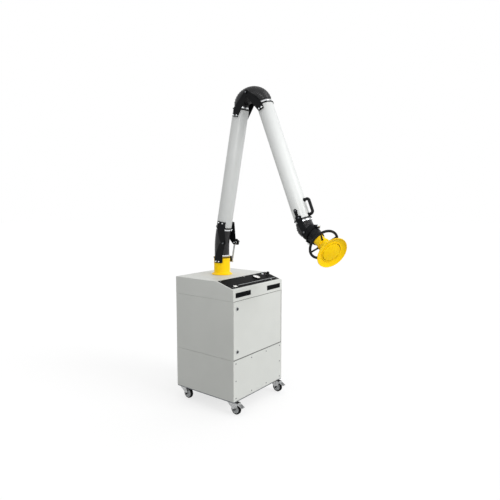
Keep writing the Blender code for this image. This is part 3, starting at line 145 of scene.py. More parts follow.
def addNode(tree, kind, inputs=None, **settings):
    # An input is a constant, a socket, or a node that gives its first output
    node = tree.nodes.new(kind)
    for label, value in settings.items():
        setattr(node, label, value)
    for label, value in (inputs or {}).items():
        if isinstance(value, bpy.types.Node):
            value = value.outputs[0]
        if isinstance(value, bpy.types.NodeSocket):
            tree.links.new(value, node.inputs[label])
        else:
            node.inputs[label].default_value = value
    return node


def link(name, data):
    made = bpy.data.objects.new(name, data)
    bpy.context.scene.collection.objects.link(made)
    return made


def emptyTree(owner):
    owner.use_nodes = True
    owner.node_tree.nodes.clear()
    return owner.node_tree


def aimed(name, data, way):
    made = link(name, data)
    made.rotation_mode = "QUATERNION"
    made.rotation_quaternion = way.to_track_quat("-Z", "Y")
    return made


def seenDirectly(tree):
    # 1 for a camera, glossy or transmission ray and 0 for the rest
    path = addNode(tree, "ShaderNodeLightPath").outputs
    seen = path["Is Camera Ray"]
    for kind in ("Is Glossy Ray", "Is Transmission Ray"):
        seen = addNode(tree, "ShaderNodeMath", {0: seen, 1: path[kind]}, operation="MAXIMUM")
    return seen


def makeStage():
    az, el = radians(camera["azimuth"]), radians(camera["elevation"])
    back = Vector((sin(az) * cos(el), -cos(az) * cos(el), sin(el)))
    eye = aimed("photoCamera", bpy.data.cameras.new("photoCamera"), -back)
    eye.location = camera["place"]
    eye.data.sensor_width = camera["sensor"]
    eye.data.lens = camera["lens"]
    bpy.context.scene.camera = eye
    sun = aimed("frontLight", bpy.data.lights.new("frontLight", "SUN"), -Vector(frontLight["source"]))
    sun.data.energy = frontLight["strength"]
    sun.data.angle = radians(frontLight["spread"])
    # A softbox with a grid lights the arm and hood, and leaves the cabinet's side in shade
    way = Vector(softbox["aim"]) - Vector(softbox["place"])
    box = aimed("armSoftbox", bpy.data.lights.new("armSoftbox", "AREA"), way)
    box.location = softbox["place"]
    box.data.energy = softbox["watts"]
    box.data.size = softbox["width"]
    box.data.spread = radians(softbox["spread"])
    box.visible_camera = False
    world = bpy.data.worlds.new("studio")
    bpy.context.scene.world = world
    tree = emptyTree(world)
    # Seen directly or in a reflection the studio is white. As light it is softer, least from the rear left.
    aim = addNode(tree, "ShaderNodeTexCoord").outputs["Generated"]
    lean = addNode(tree, "ShaderNodeVectorMath", {0: aim, 1: studio["skySide"]}, operation="DOT_PRODUCT")
    level = addNode(tree, "ShaderNodeMath", {0: lean.outputs["Value"], 1: studio["sky"]}, operation="ADD")
    soft = addNode(tree, "ShaderNodeBackground", {"Color": white, "Strength": level})
    bright = addNode(tree, "ShaderNodeBackground", {"Color": white, "Strength": 1.0})
    mixed = addNode(tree, "ShaderNodeMixShader", {0: seenDirectly(tree), 1: soft, 2: bright})
    addNode(tree, "ShaderNodeOutputWorld", {"Surface": mixed})
    mesh = bpy.data.meshes.new("studioFloor")
    reach, low = studio["reach"], cadBox[0].z - studio["drop"]
    corners = ((-reach, -reach), (reach, -reach), (reach, reach), (-reach, reach))
    mesh.from_pydata([(x, y, low) for x, y in corners], [], [(0, 1, 2, 3)])
    floor = link("studioFloor", mesh)
    paper = bpy.data.materials.new("pale backdrop paper")
    tree = emptyTree(paper)
    # The floor's own colour lights the object; seen directly it is paler and keeps a light shadow
    plain = addNode(tree, "ShaderNodeBsdfDiffuse", {"Color": hexToLinear(studio["floor"])})
    pale = addNode(tree, "ShaderNodeBsdfDiffuse", {"Color": hexToLinear(studio["floorSeen"])})
    glow = addNode(tree, "ShaderNodeEmission", {"Color": white, "Strength": 1.0})
    shown = addNode(tree, "ShaderNodeMixShader", {0: studio["floorGlow"], 1: pale, 2: glow})
    whole = addNode(tree, "ShaderNodeMixShader", {0: seenDirectly(tree), 1: plain, 2: shown})
    addNode(tree, "ShaderNodeOutputMaterial", {"Surface": whole})
    mesh.materials.append(paper)
    bpy.context.scene.view_settings.view_transform = "Standard"


makeStage()
print("stage: camera, front light, softbox, studio and floor")


# Finishes. Patches, grain and relief are in millimetres; patches to the metre make a texture's scale.
def perMetre(millimetres):
    return 1000.0 / millimetres


def startFinish(name, colour, roughness, **sockets):
    made = bpy.data.materials.new(name)
    made.use_nodes = True
    tree = made.node_tree
    shader = tree.nodes["Principled BSDF"]
    shader.inputs["Base Color"].default_value = hexToLinear(colour)
    shader.inputs["Roughness"].default_value = roughness
    for label, value in sockets.items():
        shader.inputs[label].default_value = value
    coordinates = addNode(tree, "ShaderNodeTexCoord")
    return made, tree, shader, coordinates.outputs["Object"]


def colourRamp(tree, shader, value, spots, colours):
    ramp = addNode(tree, "ShaderNodeValToRGB", {"Fac": value})
    for stop, spot, colour in zip(ramp.color_ramp.elements, spots, colours):
        stop.position = spot
        stop.color = hexToLinear(colour)
    tree.links.new(ramp.outputs["Color"], shader.inputs["Base Color"])


def mottle(tree, shader, place, colours, patch):
    # Slow change between two colours in patches of the given size
    noise = addNode(tree, "ShaderNodeTexNoise", {"Vector": place, "Scale": perMetre(patch), "Detail": 3.0})
    colourRamp(tree, shader, noise.outputs["Fac"], (0.35, 0.65), colours)


def patchyGloss(tree, shader, place, gloss, patch, detail=4.0, span=(0.3, 0.7)):
    noise = addNode(tree, "ShaderNodeTexNoise", {"Vector": place, "Scale": perMetre(patch),
        "Detail": detail})
    level = addNode(tree, "ShaderNodeMapRange", {"Value": noise.outputs["Fac"], "From Min": span[0],
        "From Max": span[1], "To Min": gloss[0], "To Max": gloss[1]})
    tree.links.new(level.outputs["Result"], shader.inputs["Roughness"])


def relief(tree, shader, value, height, **settings):
    bump = addNode(tree, "ShaderNodeBump", {"Height": value, "Distance": height / 1000}, **settings)
    tree.links.new(bump.outputs["Normal"], shader.inputs["Normal"])
    return bump


def simpleFinish(name, colours, gloss, patch, grain=0.0, height=0.0, shine=0.5, **sockets):
    made, tree, shader, place = startFinish(name, colours[0], gloss[0], **sockets)
    shader.inputs["Specular IOR Level"].default_value = shine
    mottle(tree, shader, place, colours, patch)
    patchyGloss(tree, shader, place, gloss, patch / 3)
    if grain:
        noise = addNode(tree, "ShaderNodeTexNoise",
            {"Vector": place, "Scale": perMetre(grain), "Detail": 2.0})
        relief(tree, shader, noise.outputs["Fac"], height).inputs["Strength"].default_value = 0.5
    return made


def wornSteel(name, colours, gloss, scratch):
    # Bright metal with fine wiping scratches, drawn coarse enough to show
    made, tree, shader, place = startFinish(name, colours[0], gloss[0], Metallic=1.0)
    mottle(tree, shader, place, colours, 9.0)
    stretched = addNode(tree, "ShaderNodeMapping", {"Vector": place, "Scale": (1.0, 0.12, 1.0)})
    patchyGloss(tree, shader, stretched, gloss, scratch, 3.0, (0.35, 0.65))
    return made


def cellMedia(name, colours, cell, height, roughness):
    # Granules or fibres: cells whose colour darkens in the gap round each, as painted shade between them
    made, tree, shader, place = startFinish(name, colours[0], roughness)
    cells = addNode(tree, "ShaderNodeTexVoronoi", {"Vector": place, "Scale": perMetre(cell)})
    colourRamp(tree, shader, cells.outputs["Distance"], (0.25, 0.75), colours)
    relief(tree, shader, cells.outputs["Distance"], height, invert=True)
    return made


# Polyester powder coat on sheet steel: satin, with the soft ripple of a baked coat
cabinetCoat = simpleFinish("powder coat, light grey", ("cdcfcb", "cbcdc9"), (0.42, 0.48), 120.0, 2.4, 0.02)
# The same coat on drawn aluminium tube is whiter and a little glossier
tubeCoat = simpleFinish("powder coat, white", ("cdcfce", "cacccb"), (0.32, 0.38), 90.0, 2.0, 0.015, 0.3)
# Black coat on folded steel: fine dry texture that breaks up highlights
bracketCoat = simpleFinish("powder coat, black", ("111214", "0b0c0e"), (0.36, 0.50), 12.0, 1.2, 0.06, 0.10)
# Thermoplastic rubber hose: soft sheen along the ribs, grey dust in patches
hoseRubber = simpleFinish("extruded rubber, black", ("1c1c1e", "252527"), (0.26, 0.36), 25.0, 0.9, 0.04,
    0.30)
# Injection moulded polypropylene, warm yellow with a faint flow mottle
yellowMoulding = simpleFinish("moulded polypropylene, yellow", ("ffd508", "ffcd05"), (0.34, 0.44), 30.0,
    1.6, 0.02, 0.14, IOR=1.49)
# Injection moulded nylon and ABS: spark-eroded grain
blackMoulding = simpleFinish("moulded nylon, black", ("131416", "0d0e10"), (0.36, 0.50), 10.0, 0.8, 0.05,
    0.14)
panelFoil = simpleFinish("moulded ABS, console black", ("0b0c0d", "08090a"), (0.42, 0.52), 20.0, 0.9, 0.03,
    0.03)
greyMoulding = simpleFinish("moulded polypropylene, grey", ("a6a9aa", "989b9d"), (0.42, 0.52), 8.0, 0.8,
    0.03)
hubMoulding = simpleFinish("moulded nylon, pale grey", ("c6c9ca", "b7babc"), (0.40, 0.50), 7.0, 0.8, 0.03)
whiteMoulding = simpleFinish("moulded ABS, white", ("f6f6f2", "efefea"), (0.28, 0.36), 10.0)
# Zinc plated pressings: bluish grey spangle; stainless bands: brighter and brushed
zincPlate = wornSteel("zinc plated steel", ("c2c3c3", "989a9b"), (0.24, 0.40), 1.6)
bandSteel = wornSteel("stainless strip, brushed", ("dfe1e2", "cfd2d4"), (0.16, 0.30), 1.2)
darkZinc = wornSteel("black zinc plated steel", ("74777a", "62656a"), (0.30, 0.44), 1.4)
# Zinc flake coat on the strap: matt silver grey, without the mirror of bare metal
strapCoat = simpleFinish("zinc flake coat, silver grey", ("dcdedf", "d0d3d4"), (0.45, 0.55), 14.0, 0.9,
    0.03)
nickelPin = wornSteel("nickel plated brass", ("d8d2c2", "c9c2ae"), (0.18, 0.30), 1.0)
# Cast polyurethane and rubber tyres: dull, with floor dust in the tread
tyreRubber = simpleFinish("cast rubber, tyre black", ("0e0e0f", "161516"), (0.60, 0.80), 6.0, 0.7, 0.06,
    0.12)
foamSeal = simpleFinish("foam rubber seal", ("2b2b2c", "222223"), (0.80, 0.92), 5.0, 0.8, 0.12)
# Grey strip set in the door gaps: painted shade for the dark gap lines
gapShadeStrip = simpleFinish("grey strip, painted gap shade", ("686a68", "5e605e"), (0.60, 0.72), 8.0, 0.8, 0.06)
# Printed dial: enamel white and flat black ink, red lacquer on the pointer
dialEnamel = simpleFinish("dial enamel, white", ("fbfbf8", "f6f6f2"), (0.30, 0.36), 8.0)
dialInk = simpleFinish("screen ink, black", ("1b1b1c", "242425"), (0.55, 0.65), 4.0)
scaleInk = simpleFinish("screen ink, pale grey", ("c9cbcb", "bfc1c1"), (0.50, 0.60), 4.0)
pointerLacquer = simpleFinish("lacquer, red", ("8f2018", "7e1a13"), (0.30, 0.40), 3.0)
# Filter stack: card frame, needled fleece, galvanised cassette with carbon behind it
cardFrame = simpleFinish("pressed card", ("c9b48c", "bda77d"), (0.75, 0.88), 7.0, 1.0, 0.08)
# The darker second colour of fleece and carbon is painted shade in the gaps between fibres and granules
fleece = cellMedia("needled polyester fleece", ("f0eee6", "d9d6ca"), 1.6, 0.5, 0.95)
carbon = cellMedia("activated carbon granules", ("303132", "101011"), 3.2, 1.2, 0.6)
# Clear acrylic window: only its gloss shows
window = startFinish("cast acrylic, clear", "ffffff", 0.04, Alpha=0.10, IOR=1.49)[0]
lampLens = startFinish("moulded acrylic, opal", "f2f5f1", 0.12, **{"Subsurface Weight": 0.2})[0]
print("finishes:", len(bpy.data.materials))


# Pieces: a mesh, its finish, the body that carries it and the nodes it stands for
def settle(made, finish, body, replaced=()):
    if finish is not None:
        made.data.materials.clear()
        made.data.materials.append(finish)
    if replaced:
        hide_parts(*([replaced] if isinstance(replaced, str) else replaced))
    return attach(made, body)


def meshOf(shape, name, sharp=35.0):
    bmesh.ops.remove_doubles(shape, verts=shape.verts, dist=1e-6)
    bmesh.ops.recalc_face_normals(shape, faces=shape.faces)
    mesh = bpy.data.meshes.new(name)
    shape.to_mesh(mesh)
    shape.free()
    mesh.shade_smooth()
    mesh.set_sharp_from_angle(angle=radians(sharp))
    return mesh


def evaluated(holder):
    bpy.context.view_layer.update()
    graph = bpy.context.evaluated_depsgraph_get()
    mesh = bpy.data.meshes.new_from_object(holder.evaluated_get(graph))
    holder.modifiers.clear()
    holder.data = mesh
    return holder


def softCopy(node, name, width, steps):
    # A node's own shape with its edges rounded as a folded or moulded edge is
    shape = bmesh.new()
    shape.from_mesh(frame["nodes"][node].data)
    bmesh.ops.remove_doubles(shape, verts=shape.verts, dist=1e-5)
    bmesh.ops.dissolve_limit(shape, angle_limit=radians(0.5), verts=shape.verts, edges=shape.edges)
    mesh = bpy.data.meshes.new(name)
    shape.to_mesh(mesh)
    shape.free()
    mesh.shade_smooth()
    mesh.set_sharp_from_angle(angle=radians(50))
    holder = link(name, mesh)
    edge = holder.modifiers.new("rounded edges", "BEVEL")
    edge.width = width
    edge.segments = steps
    edge.limit_method = "ANGLE"
    edge.angle_limit = radians(32)
    even = holder.modifiers.new("even shading", "WEIGHTED_NORMAL")
    even.keep_sharp = False
    return evaluated(holder)


def softPiece(node, name, width, finish, body, steps=2):
    return settle(softCopy(node, name, width, steps), finish, body, node)


def eased(points, radius, closed=True, steps=4):
    # An outline with its corners rounded
    made = []
    count = len(points)
    for i, corner in enumerate(points):
        corner = Vector(corner)
        if not closed and i in (0, count - 1):
            made.append(corner)
            continue
        before, after = Vector(points[i - 1]) - corner, Vector(points[(i + 1) % count]) - corner
        cut = min(radius, before.length * 0.45, after.length * 0.45)
        first, last = corner + cut * before.normalized(), corner + cut * after.normalized()
        for k in range(steps + 1):
            t = k / steps
            made.append((1 - t) ** 2 * first + 2 * t * (1 - t) * corner + t * t * last)
    return made


def addTurned(shape, profile, place=Matrix.Identity(4), sides=64, lobes=0, depth=0.0):
    # A closed outline of (radius, height) turned about Z; lobes wave its radius by a share
    angles = [2 * pi * i / sides for i in range(sides)]
    rings = []
    for radius, height in profile:
        if radius < 1e-7:
            rings.append([shape.verts.new(place @ Vector((0, 0, height)))] * sides)
            continue
        ring = []
        for a in angles:
            r = radius * (1 + depth * cos(lobes * a))
            ring.append(shape.verts.new(place @ Vector((r * cos(a), r * sin(a), height))))
        rings.append(ring)
    for first, second in zip(rings, rings[1:] + rings[:1]):
        for i in range(sides):
            j = (i + 1) % sides
            corners = list(dict.fromkeys((first[i], first[j], second[j], second[i])))
            if len(corners) > 2:
                shape.faces.new(corners)


def addBlock(shape, low, high, place=Matrix.Identity(4), ease=0.0006):
    block = bmesh.new()
    size = Vector(high) - Vector(low)
    middle = (Vector(high) + Vector(low)) / 2
    bmesh.ops.create_cube(block, size=1.0,
        matrix=Matrix.Translation(middle) @ Matrix.Diagonal((*size, 1.0)))
    if ease:
        bmesh.ops.bevel(block, geom=block.edges[:], offset=min(ease, min(size) * 0.45), segments=2,
            profile=0.5, affect="EDGES")
    block.transform(place)
    held = bpy.data.meshes.new("block")
    block.to_mesh(held)
    block.free()
    shape.from_mesh(held)
    bpy.data.meshes.remove(held)


def shapePiece(name, shape, finish, body, replaced=(), sharp=35.0):
    return settle(link(name, meshOf(shape, name, sharp)), finish, body, replaced)


def turnedPiece(name, profile, place, finish, body, replaced=(), sides=64):
    shape = bmesh.new()
    addTurned(shape, profile, place, sides)
    return shapePiece(name, shape, finish, body, replaced)


def capped(profile):
    # Closes an outline that starts and ends off the axis with flat ends
    return [(0.0, profile[0][1])] + list(profile) + [(0.0, profile[-1][1])]


def fourBars(x0, y0, x1, y1, wall):
    # Opposite corners of each bar in a flat frame: two over the whole width, then two between them
    return (((x0, y0), (x1, y0 + wall)), ((x0, y1 - wall), (x1, y1)),
        ((x0, y0 + wall), (x0 + wall, y1 - wall)), ((x1 - wall, y0 + wall), (x1, y1 - wall)))


def cubic(knots, count):
    # Points along a Bezier curve
    a, b, c, d = knots
    shares = [i / count for i in range(count + 1)]
    return [(1 - t) ** 3 * a + 3 * t * (1 - t) ** 2 * b + 3 * t * t * (1 - t) * c + t ** 3 * d
        for t in shares]


# Node trees for what repeats or follows a path
def newTree(name, *sockets):
    tree = bpy.data.node_groups.new(name, "GeometryNodeTree")
    tree.interface.new_socket("Geometry", in_out="INPUT", socket_type="NodeSocketGeometry")
    for label, kind in sockets:
        tree.interface.new_socket(label, in_out="INPUT", socket_type=f"NodeSocket{kind}")
    tree.interface.new_socket("Geometry", in_out="OUTPUT", socket_type="NodeSocketGeometry")
    entry = addNode(tree, "NodeGroupInput")
    return tree, entry.outputs


def closeTree(tree, geometry, finish):
    whole = addNode(tree, "GeometryNodeRealizeInstances", {"Geometry": geometry})
    painted = addNode(tree, "GeometryNodeSetMaterial", {"Geometry": whole, "Material": finish})
    addNode(tree, "NodeGroupOutput", {"Geometry": painted})
    return tree


def grow(name, source, tree, settings, place=Matrix.Identity(4)):
    holder = link(name, source)
    step = holder.modifiers.new("grow", "NODES")
    step.node_group = tree
    for item in tree.interface.items_tree:
        if item.in_out == "INPUT" and item.name in settings:
            step[item.identifier] = settings[item.name]
    evaluated(holder)
    holder.data.transform(place)
    return holder


def makeScrewTree():
    # A button head with a hexagon socket on each point, standing along its facing attribute
    tree, given = newTree("screw heads", ("Head radius", "Float"), ("Head height", "Float"),
        ("Socket radius", "Float"), ("Finish", "Material"))
    crown = addNode(tree, "ShaderNodeMath", {0: given["Head radius"], 1: 0.74}, operation="MULTIPLY")
    head = addNode(tree, "GeometryNodeMeshCone", {"Vertices": 20, "Side Segments": 1, "Radius Top": crown,
        "Radius Bottom": given["Head radius"], "Depth": given["Head height"]})
    key = addNode(tree, "GeometryNodeMeshCylinder",
        {"Vertices": 6, "Radius": given["Socket radius"], "Depth": given["Head height"]})
    lift = addNode(tree, "ShaderNodeCombineXYZ", {"Z": given["Head height"]})
    raised = addNode(tree, "GeometryNodeTransform", {"Geometry": key, "Translation": lift})
    cut = addNode(tree, "GeometryNodeMeshBoolean", {"Mesh 1": head, "Mesh 2": raised},
        operation="DIFFERENCE")
    facing = addNode(tree, "GeometryNodeInputNamedAttribute", {"Name": "facing"}, data_type="FLOAT_VECTOR")
    stand = addNode(tree, "FunctionNodeAlignRotationToVector", {"Vector": facing}, axis="Z")
    spread = addNode(tree, "GeometryNodeInstanceOnPoints",
        {"Points": given["Geometry"], "Instance": cut, "Rotation": stand})
    return closeTree(tree, spread, given["Finish"])


def makeHoseTree():
    # A round skin along a path, waved into ribs between two plain cuffs
    tree, given = newTree("ribbed hose", ("Radius", "Float"), ("Rib height", "Float"),
        ("Rib pitch", "Float"), ("Cuff", "Float"), ("Sides", "Int"), ("Step", "Float"),
        ("Finish", "Material"))
    path = addNode(tree, "GeometryNodeMeshToCurve", {"Mesh": given["Geometry"]})
    even = addNode(tree, "GeometryNodeResampleCurve", {"Curve": path, "Length": given["Step"]},
        mode="LENGTH")
    spot = addNode(tree, "GeometryNodeSplineParameter")
    whole = addNode(tree, "GeometryNodeSplineLength")
    along = addNode(tree, "ShaderNodeMath", {0: spot.outputs["Length"], 1: given["Cuff"]},
        operation="SUBTRACT")
    left = addNode(tree, "ShaderNodeMath", {0: whole.outputs["Length"], 1: spot.outputs["Length"]},
        operation="SUBTRACT")
    ahead = addNode(tree, "ShaderNodeMath", {0: left, 1: given["Cuff"]}, operation="GREATER_THAN")
    begun = addNode(tree, "ShaderNodeMath", {0: along, 1: 0.0}, operation="GREATER_THAN")
    ribbed = addNode(tree, "ShaderNodeMath", {0: ahead, 1: begun}, operation="MULTIPLY")
    turns = addNode(tree, "ShaderNodeMath", {0: along, 1: given["Rib pitch"]}, operation="DIVIDE")
    phase = addNode(tree, "ShaderNodeMath", {0: turns, 1: 2 * pi}, operation="MULTIPLY")
    swing = addNode(tree, "ShaderNodeMath", {0: phase}, operation="COSINE")
    wave = addNode(tree, "ShaderNodeMath", {0: swing, 1: -0.5, 2: 0.5}, operation="MULTIPLY_ADD")
    crest = addNode(tree, "ShaderNodeMath", {0: wave, 1: 0.6}, operation="POWER")
    kept = addNode(tree, "ShaderNodeMath", {0: crest, 1: ribbed}, operation="MULTIPLY")
    size = addNode(tree, "ShaderNodeMath", {0: kept, 1: given["Rib height"], 2: given["Radius"]},
        operation="MULTIPLY_ADD")
    ring = addNode(tree, "GeometryNodeCurvePrimitiveCircle", {"Resolution": given["Sides"], "Radius": 1.0})
    skin = addNode(tree, "GeometryNodeCurveToMesh",
        {"Curve": even, "Profile Curve": ring, "Scale": size, "Fill Caps": True})
    smooth = addNode(tree, "GeometryNodeSetShadeSmooth", {"Geometry": skin})
    return closeTree(tree, smooth, given["Finish"])


def makeRingTree():
    # Bars set round a circle, each pointing at its middle
    tree, given = newTree("bars round a circle", ("Count", "Int"), ("Radius", "Float"), ("Start", "Float"),
        ("Step", "Float"), ("Bar", "Vector"), ("Finish", "Material"))
    index = addNode(tree, "GeometryNodeInputIndex")
    angle = addNode(tree, "ShaderNodeMath", {0: index, 1: given["Step"], 2: given["Start"]},
        operation="MULTIPLY_ADD")
    across = addNode(tree, "ShaderNodeMath", {0: angle}, operation="COSINE")
    up = addNode(tree, "ShaderNodeMath", {0: angle}, operation="SINE")
    spot = addNode(tree, "ShaderNodeCombineXYZ", {"X": across, "Y": up})
    place = addNode(tree, "ShaderNodeVectorMath", {0: spot, "Scale": given["Radius"]}, operation="SCALE")
    points = addNode(tree, "GeometryNodePoints", {"Count": given["Count"], "Position": place})
    bar = addNode(tree, "GeometryNodeMeshCube", {"Size": given["Bar"]})
    aim = addNode(tree, "FunctionNodeAxisAngleToRotation", {"Axis": (0, 0, 1), "Angle": angle})
    spread = addNode(tree, "GeometryNodeInstanceOnPoints",
        {"Points": points, "Instance": bar, "Rotation": aim})
    return closeTree(tree, spread, given["Finish"])


def makeSlatTree():
    # Tilted slats one above the other
    tree, given = newTree("louvre slats", ("Count", "Int"), ("Pitch", "Float"), ("Slat", "Vector"),
        ("Tilt", "Float"), ("Finish", "Material"))
    rise = addNode(tree, "ShaderNodeCombineXYZ", {"Z": given["Pitch"]})
    row = addNode(tree, "GeometryNodeMeshLine", {"Count": given["Count"], "Offset": rise})
    slat = addNode(tree, "GeometryNodeMeshCube", {"Size": given["Slat"]})
    aim = addNode(tree, "FunctionNodeAxisAngleToRotation", {"Axis": (1, 0, 0), "Angle": given["Tilt"]})
    spread = addNode(tree, "GeometryNodeInstanceOnPoints",
        {"Points": row, "Instance": slat, "Rotation": aim})
    return closeTree(tree, spread, given["Finish"])


screwTree, hoseTree, ringTree, slatTree = makeScrewTree(), makeHoseTree(), makeRingTree(), makeSlatTree()
print("node trees:", len(bpy.data.node_groups))


def screwSet(name, body, places, radius, height, finish=None):
    # places are (point, facing) pairs
    mesh = bpy.data.meshes.new(name)
    mesh.from_pydata([p for p, f in places], [], [])
    facing = mesh.attributes.new("facing", "FLOAT_VECTOR", "POINT")
    for i, (p, f) in enumerate(places):
        facing.data[i].vector = f
    made = grow(name, mesh, screwTree, {"Head radius": radius, "Head height": height,
        "Socket radius": radius * 0.5, "Finish": finish or zincPlate})
    return settle(made, None, body, ())


def sweepAlong(name, points, settings):
    path = bpy.data.meshes.new(name)
    path.from_pydata(points, [(i, i + 1) for i in range(len(points) - 1)], [])
    made = grow(name, path, hoseTree, settings)
    shape = bmesh.new()
    shape.from_mesh(made.data)
    bmesh.ops.recalc_face_normals(shape, faces=shape.faces)
    shape.to_mesh(made.data)
    shape.free()
    return made


# Cabinet
cabinet = dict(foldRadius=0.0012, doorFold=0.0018, lipInset=0.0010, lipWall=0.0016, lipDrop=0.0065,
    lipBite=0.0002, lipEase=0.0003, screwRadius=0.0042, screwHeight=0.0018, screwRows=(0.019, 0.234),
    screwColumns=(0.079, 0.235), sideScrew=0.126, rearColumns=(0.0, 0.12, 0.24), rearRow=0.012,
    doorPin=0.008, stripClear=0.0016, stripDepths=(0.0008, 0.004), stripEase=0.0004)


def makeCabinet():
    for node in ("base_shell", "filter_shell", "top_shell", "lower_front_panel"):
        softPiece(node, f"coated_{node}", cabinet["foldRadius"], cabinetCoat, "cabinet")
    softPiece("door", "coated_door", cabinet["doorFold"], cabinetCoat, "door", 3)
    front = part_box("lower_front_panel")[0].y
    spots = [(s * x, z) for s in (-1, 1) for x in cabinet["screwColumns"] for z in cabinet["screwRows"]]
    spots += [(s * cabinet["screwColumns"][1], cabinet["sideScrew"]) for s in (-1, 1)]
    screwSet("panel_screws", "cabinet", [((x, front, z), (0, -1, 0)) for x, z in spots],
        cabinet["screwRadius"], cabinet["screwHeight"], darkZinc)
    # Flange folded down round the bottom edge; its dark zinc colour is painted shade for the shadow line
    # along the cabinet's foot
    low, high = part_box("base_shell")
    gap, drop, bite = (cabinet[k] for k in ("lipInset", "lipDrop", "lipBite"))
    shape = bmesh.new()
    for first, last in fourBars(low.x + gap, low.y + gap, high.x - gap, high.y - gap, cabinet["lipWall"]):
        addBlock(shape, (*first, low.z - drop), (*last, low.z + bite), ease=cabinet["lipEase"])
    shapePiece("base_flange_painted_shade", shape, darkZinc, "cabinet", ())
    # Grey strips in the gaps above and below the door: painted shade for the dark gap lines
    low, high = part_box("door")
    pin, clear, wide = cabinet["doorPin"], cabinet["stripClear"] / 2, high.x
    near, far = (low.y + depth for depth in cabinet["stripDepths"])
    shape = bmesh.new()
    for z0, z1 in ((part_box("lower_front_panel")[1].z, low.z + pin),
            (high.z - pin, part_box("top_shell")[0].z)):
        addBlock(shape, (-wide, near, z0 + clear), (wide, far, z1 - clear), ease=cabinet["stripEase"])
    shapePiece("door_gap_shade_strips", shape, gapShadeStrip, "cabinet", ())
    low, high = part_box("filter_shell")
    rows = [low.z + cabinet["rearRow"], high.z - cabinet["rearRow"]]
    spots = [(s * x, z) for x in cabinet["rearColumns"] for s in ((-1, 1) if x else (1,)) for z in rows]
    screwSet("rear_screws", "cabinet", [((x, high.y, z), (0, 1, 0)) for x, z in spots],
        cabinet["screwRadius"], cabinet["screwHeight"])


outlet = dict(border=0.0032, slats=6, slatDepth=0.0065, slatThickness=0.0009, tilt=38.0, backing=0.0006,
    ease=0.0005)


def makeOutlets():
    for side in ("left", "right"):
        node = f"outlet_grille_{side}"
        low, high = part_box(node)
        shape = bmesh.new()
        b, depth = outlet["border"], high.y - low.y
        for (x0, z0), (x1, z1) in fourBars(low.x, low.z, high.x, high.z, b):
            addBlock(shape, (x0, low.y, z0), (x1, high.y, z1), ease=outlet["ease"])
        addBlock(shape, (low.x, high.y - outlet["backing"], low.z), (high.x, high.y, high.z), ease=0)
        shapePiece(f"outlet_frame_{side}", shape, blackMoulding, "cabinet", node)
        pitch = (high.z - low.z - 2 * b) / outlet["slats"]
        start = shift((low.x + high.x) / 2, low.y + depth / 2, low.z + b + pitch / 2)
        slats = grow(f"outlet_slats_{side}", bpy.data.meshes.new("slats"), slatTree,
            {"Count": outlet["slats"], "Pitch": pitch, "Tilt": radians(outlet["tilt"]),
            "Slat": (high.x - low.x - 2 * b, outlet["slatDepth"], outlet["slatThickness"]),
            "Finish": blackMoulding}, start)
        settle(slats, None, "cabinet", ())


lock = dict(edge=0.0006, plug=0.0088, proud=0.0014, sunk=0.001, slot=(0.0018, 0.0120), slotLow=0.0002,
    slotHigh=0.0004)


def makeLocks():
    for side in ("upper", "lower"):
        node, body = f"door_lock_{side}", f"lock_{side}"
        softPiece(node, f"lock_barrel_{side}", lock["edge"], bandSteel, body)
        centre = jointPlace(f"lock_{side}_turn")
        face = axisFrame(Vector((centre.x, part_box(node)[0].y, centre.z)), Vector((0, -1, 0)))
        r, p = lock["plug"], lock["proud"]
        turnedPiece(f"lock_plug_{side}", capped([(r, -lock["sunk"]), (r, p * 0.6), (r * 0.8, p)]), face,
            blackMoulding, body, sides=32)
        shape = bmesh.new()
        w, h = lock["slot"]
        addBlock(shape, (-h / 2, -w / 2, p - lock["slotLow"]), (h / 2, w / 2, p + lock["slotHigh"]), face,
            0.0001)
        shapePiece(f"lock_key_{side}", shape, darkZinc, body)


# Console on the slope
console = dict(panelEdge=0.0010, ridge=(-0.165, 0.239, 0.042), ridgeSize=(0.0036, 0.0014),
    screwRadius=0.0036, screwHeight=0.0014, screwInset=0.016, apron=0.017)


def slopeFrame(origin):
    return axisFrame(origin, -jointAxis("gauge_turn"))


def makeConsole():
    softPiece("control_panel", "console_panel", console["panelEdge"], panelFoil, "cabinet")
    gaugeAt = jointPlace("gauge_turn")
    flat = slopeFrame(gaugeAt)
    # Panel corners in slope coordinates that have the gauge at their middle
    inverse = flat.inverted()
    corners = np.array([inverse @ v.co for v in frame["nodes"]["control_panel"].data.vertices])
    low, high = corners.min(0), corners.max(0)
    face = high[2]
    front = low[1] - console["apron"]
    left, right, up = console["ridge"]
    w, h = console["ridgeSize"]
    # A raised ridge across the panel; its pale grey is painted highlight along its edge
    shape = bmesh.new()
    addBlock(shape, (left - gaugeAt.x, front + up - w / 2, face - 0.0002),
        (right - gaugeAt.x, front + up + w / 2, face + h), flat, 0.0006)
    shapePiece("console_ridge_painted_highlight", shape, greyMoulding, "cabinet", ())
    inset = console["screwInset"]
    spots = [(x, y) for x in (low[0] + inset, high[0] - inset)
        for y in (low[1] + inset * 0.5, high[1] - inset * 0.5)]
    spots.append(((low[0] + high[0]) / 2, high[1] - inset * 0.5))
    normal = flat.to_3x3() @ upwards
    screwSet("console_screws", "cabinet", [(flat @ Vector((x, y, face)), normal) for x, y in spots],
        console["screwRadius"], console["screwHeight"])
    return face


gauge = dict(radius=0.027, lip=0.0243, height=0.0060, stem=0.020, faceDrop=0.0030, ticks=11,
    tickLength=0.0042, sweep=240.0, numbers=6, numberSize=0.0048, numberRise=0.00008, stemDepth=0.006,
    shaft=0.004, recess=0.0004, edge=0.0008, tickWidth=0.0009, ink=0.0002)


